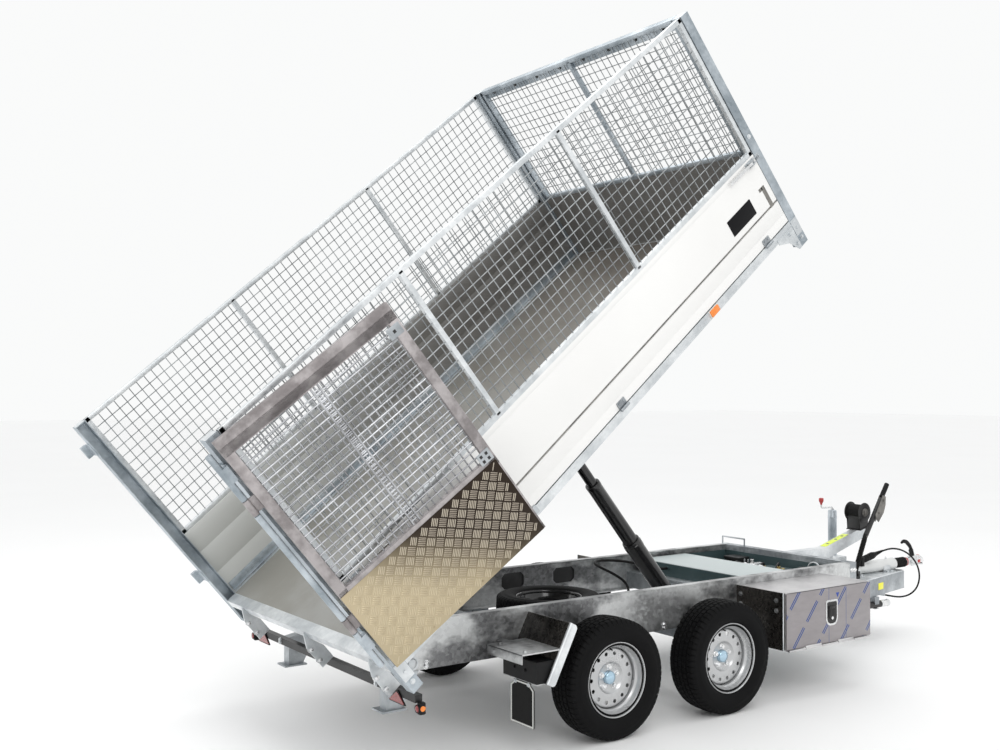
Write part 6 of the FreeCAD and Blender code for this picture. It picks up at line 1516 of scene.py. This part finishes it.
relay_cap = block((1.636, 0.266, 0.560), (1.739, 0.404, 0.578), 0.004)
battery = block((1.520, 0.290, 0.443), (1.612, 0.440, 0.556), 0.008)
half_ring = tube([(1.712, -0.300 + 0.050 * math.cos(a), 0.560 + 0.050 * math.sin(a))
                  for a in np.linspace(0, np.pi, 15)], 0.006, 10)
piece("pump_parts", "chassis", "black_steel", (tank, TEAL), (join(motor, relay, relay_cap, battery), BLACK_SATIN),
      (join(*valve, *solenoids), CHROME), (brass, BRASS), (join(filler, *pipes_), BLACK_PLASTIC),
      (join(*terminals, half_ring), GALV_BRIGHT), stands_for=["pump_unit"])

# Bolts and caps on the frame and bed that stay as they are drawn
hardware = [bolt((1.780 + dx, s * 0.544, z), s * Y, 0.017, 0.010) for s in (1, -1) for dx in (-0.014, 0.014)
            for z in (0.460, 0.590)]
hardware += [bolt((x, s * 0.544, z), s * Y, 0.019, 0.011) for s in (1, -1) for x in (-1.29, -0.545, 0.205, 0.920)
             for z in (0.4265, 0.4415)]
hardware += [bolt((x + dx, s * 0.5445, 0.430), s * Y, 0.019, 0.011) for s in (1, -1) for x in (0.510, -0.270)
             for dx in (-0.030, 0.030)]
caps = [turned([(0.012, 0.0), (0.022, 0.0), (0.022, 0.004), (0.016, 0.007), (0.006, 0.008)],
               (-1.370, s * 0.556, 0.450), s * Y, 32) for s in (1, -1)]
caps += [turned([(0.0195, 0.0), (0.033, 0.0), (0.033, 0.010), (0.0255, 0.010)], (-1.370, s * 0.546, 0.450), s * Y,
                36) for s in (1, -1)]
hubs = [turned([(0.048, 0.0), (0.048, 0.010), (0.040, 0.016), (0.030, 0.018), (0.012, 0.018)],
               (x + 0.120, s * 0.641, 0.338), s * Y, 36) for x in (0.390, -0.390) for s in (1, -1)]
piece("frame_hardware", "chassis", "galvanised", (hardware, CHROME), (join(*caps, *hubs), GALV_BRIGHT))
rod_body = turned([(0.0190, 2.149), (0.0224, 2.150), (0.0224, 2.560)], (0, -0.160, 0.240), X, 32)
rod_end = turned([(0.0224, 2.560), (0.0235, 2.562), (0.0235, 2.600), (0.0225, 2.604), (0.0225, 2.630),
                  (0.0245, 2.634), (0.0245, 2.6415), (0.0180, 2.6420), (0.0180, 2.6405), (0.004, 2.6405)],
                 (0, -0.160, 0.240), X, 40)
straps = [beam((x, -0.186, 0.216), (x, -0.134, 0.216), 0.040, 0.003, Z, 0.001) for x in (2.270, 2.500)]
piece("stored_rod", "chassis", "black_steel", (rod_body, BLACK_SATIN), (rod_end, CHROME), (straps, GALV_BRIGHT))
arm_side_y = lambda x: -0.380 + 0.320 * (x - 1.450) / 1.510 - 0.0008
shop_label = beam((2.565, arm_side_y(2.565), 0.352), (2.640, arm_side_y(2.640), 0.352), 0.0010, 0.046, Z, 0.0003)
# Black plates over the frame's two cut-outs stand for the shade inside them: painted shade
CUTOUT_XS, CUTOUT_Z = (-0.1025, 0.2875), 0.548
cutout_shade_plates = [block((x - 0.008, 0.5445, CUTOUT_Z - 0.056), (x + 0.173, 0.5475, CUTOUT_Z + 0.056), 0.001)
               for x in CUTOUT_XS]
piece("frame_shade_plates_and_label", "chassis", "black_plastic", (cutout_shade_plates, BLACK_SATIN), (shop_label, YELLOW))

posts = []
for u in (0.030, BED_L - 0.030):
    for s in (1, -1):
        posts += [bolt((u, s * HALF_W, v), s * Y, 0.016, 0.009) for v in (-0.120, -0.060, 0.520)]
        posts.append(beam((u, s * (HALF_W + 0.0012), -0.100), (u, s * (HALF_W + 0.0012), -0.005), 0.056, 0.003, Y,
                          0.001))
for u in (0.030, BED_L - 0.030):
    posts += [beam((u, s * (HALF_W - 0.030), BED_H - 0.003), (u, s * (HALF_W - 0.030), BED_H + 0.0004), 0.054,
                   0.054, X, 0.001) for s in (1, -1)]
bar_pins = []
for y in (0.655, -0.095, -0.735):
    bar_pins += [bolt((-0.030, y - 0.001, v), -Y, 0.020, 0.011) for v in (-0.090, -0.160)]
    bar_pins += [bolt((-0.030, y + 0.006, v), Y, 0.020, 0.011) for v in (-0.090, -0.160)]
inner_rails = [beam((POST + 0.012, s * (HALF_W - 0.0315), 0.030),
                    (BED_L - POST - 0.012, s * (HALF_W - 0.0315), 0.030), 0.005, 0.052, Z, 0.001) for s in (1, -1)]
piece("bed_hardware", "bed", "galvanised", (posts, GALV_BRIGHT), (inner_rails, GALV_POST), (bar_pins, CHROME),
      place=bed)
strips = [beam((POST + 0.010, s * (HALF_W - 0.0005), -0.022), (BED_L - POST - 0.010, s * (HALF_W - 0.0005), -0.022),
               0.0012, 0.030, Z, 0.0004) for s in (1, -1)]
piece("edge_strips", "bed", "galvanised", (strips, GALV_BRIGHT), place=bed)


# Finishes of the CAD pieces that show as they are; the floor's and the front panel's carry painted reflection and
# shade
CAD_FINISHES = (("chassis_rails", GALV_RAIL), ("crossmembers front_beam support_feet axles drawbar jack_leg", GALV),
                ("bed_crossbars bed_runners cylinder_cradle", GALV), ("tip_shaft", CHROME),
                ("bed_edge_rails", GALV_BRIGHT), ("corner_posts", GALV_POST), ("front_tray", TEAL),
                ("tray_cover", COVER), ("bed_floor", FLOOR), ("front_panel", BOARD))
for names, finish in CAD_FINISHES:
    for name in names.split():
        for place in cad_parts[name].material_slots:
            place.material = finish

{"cad": [list(map(float, p)) for p in CAD_BOX], "visual": [list(map(float, p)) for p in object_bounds()]}
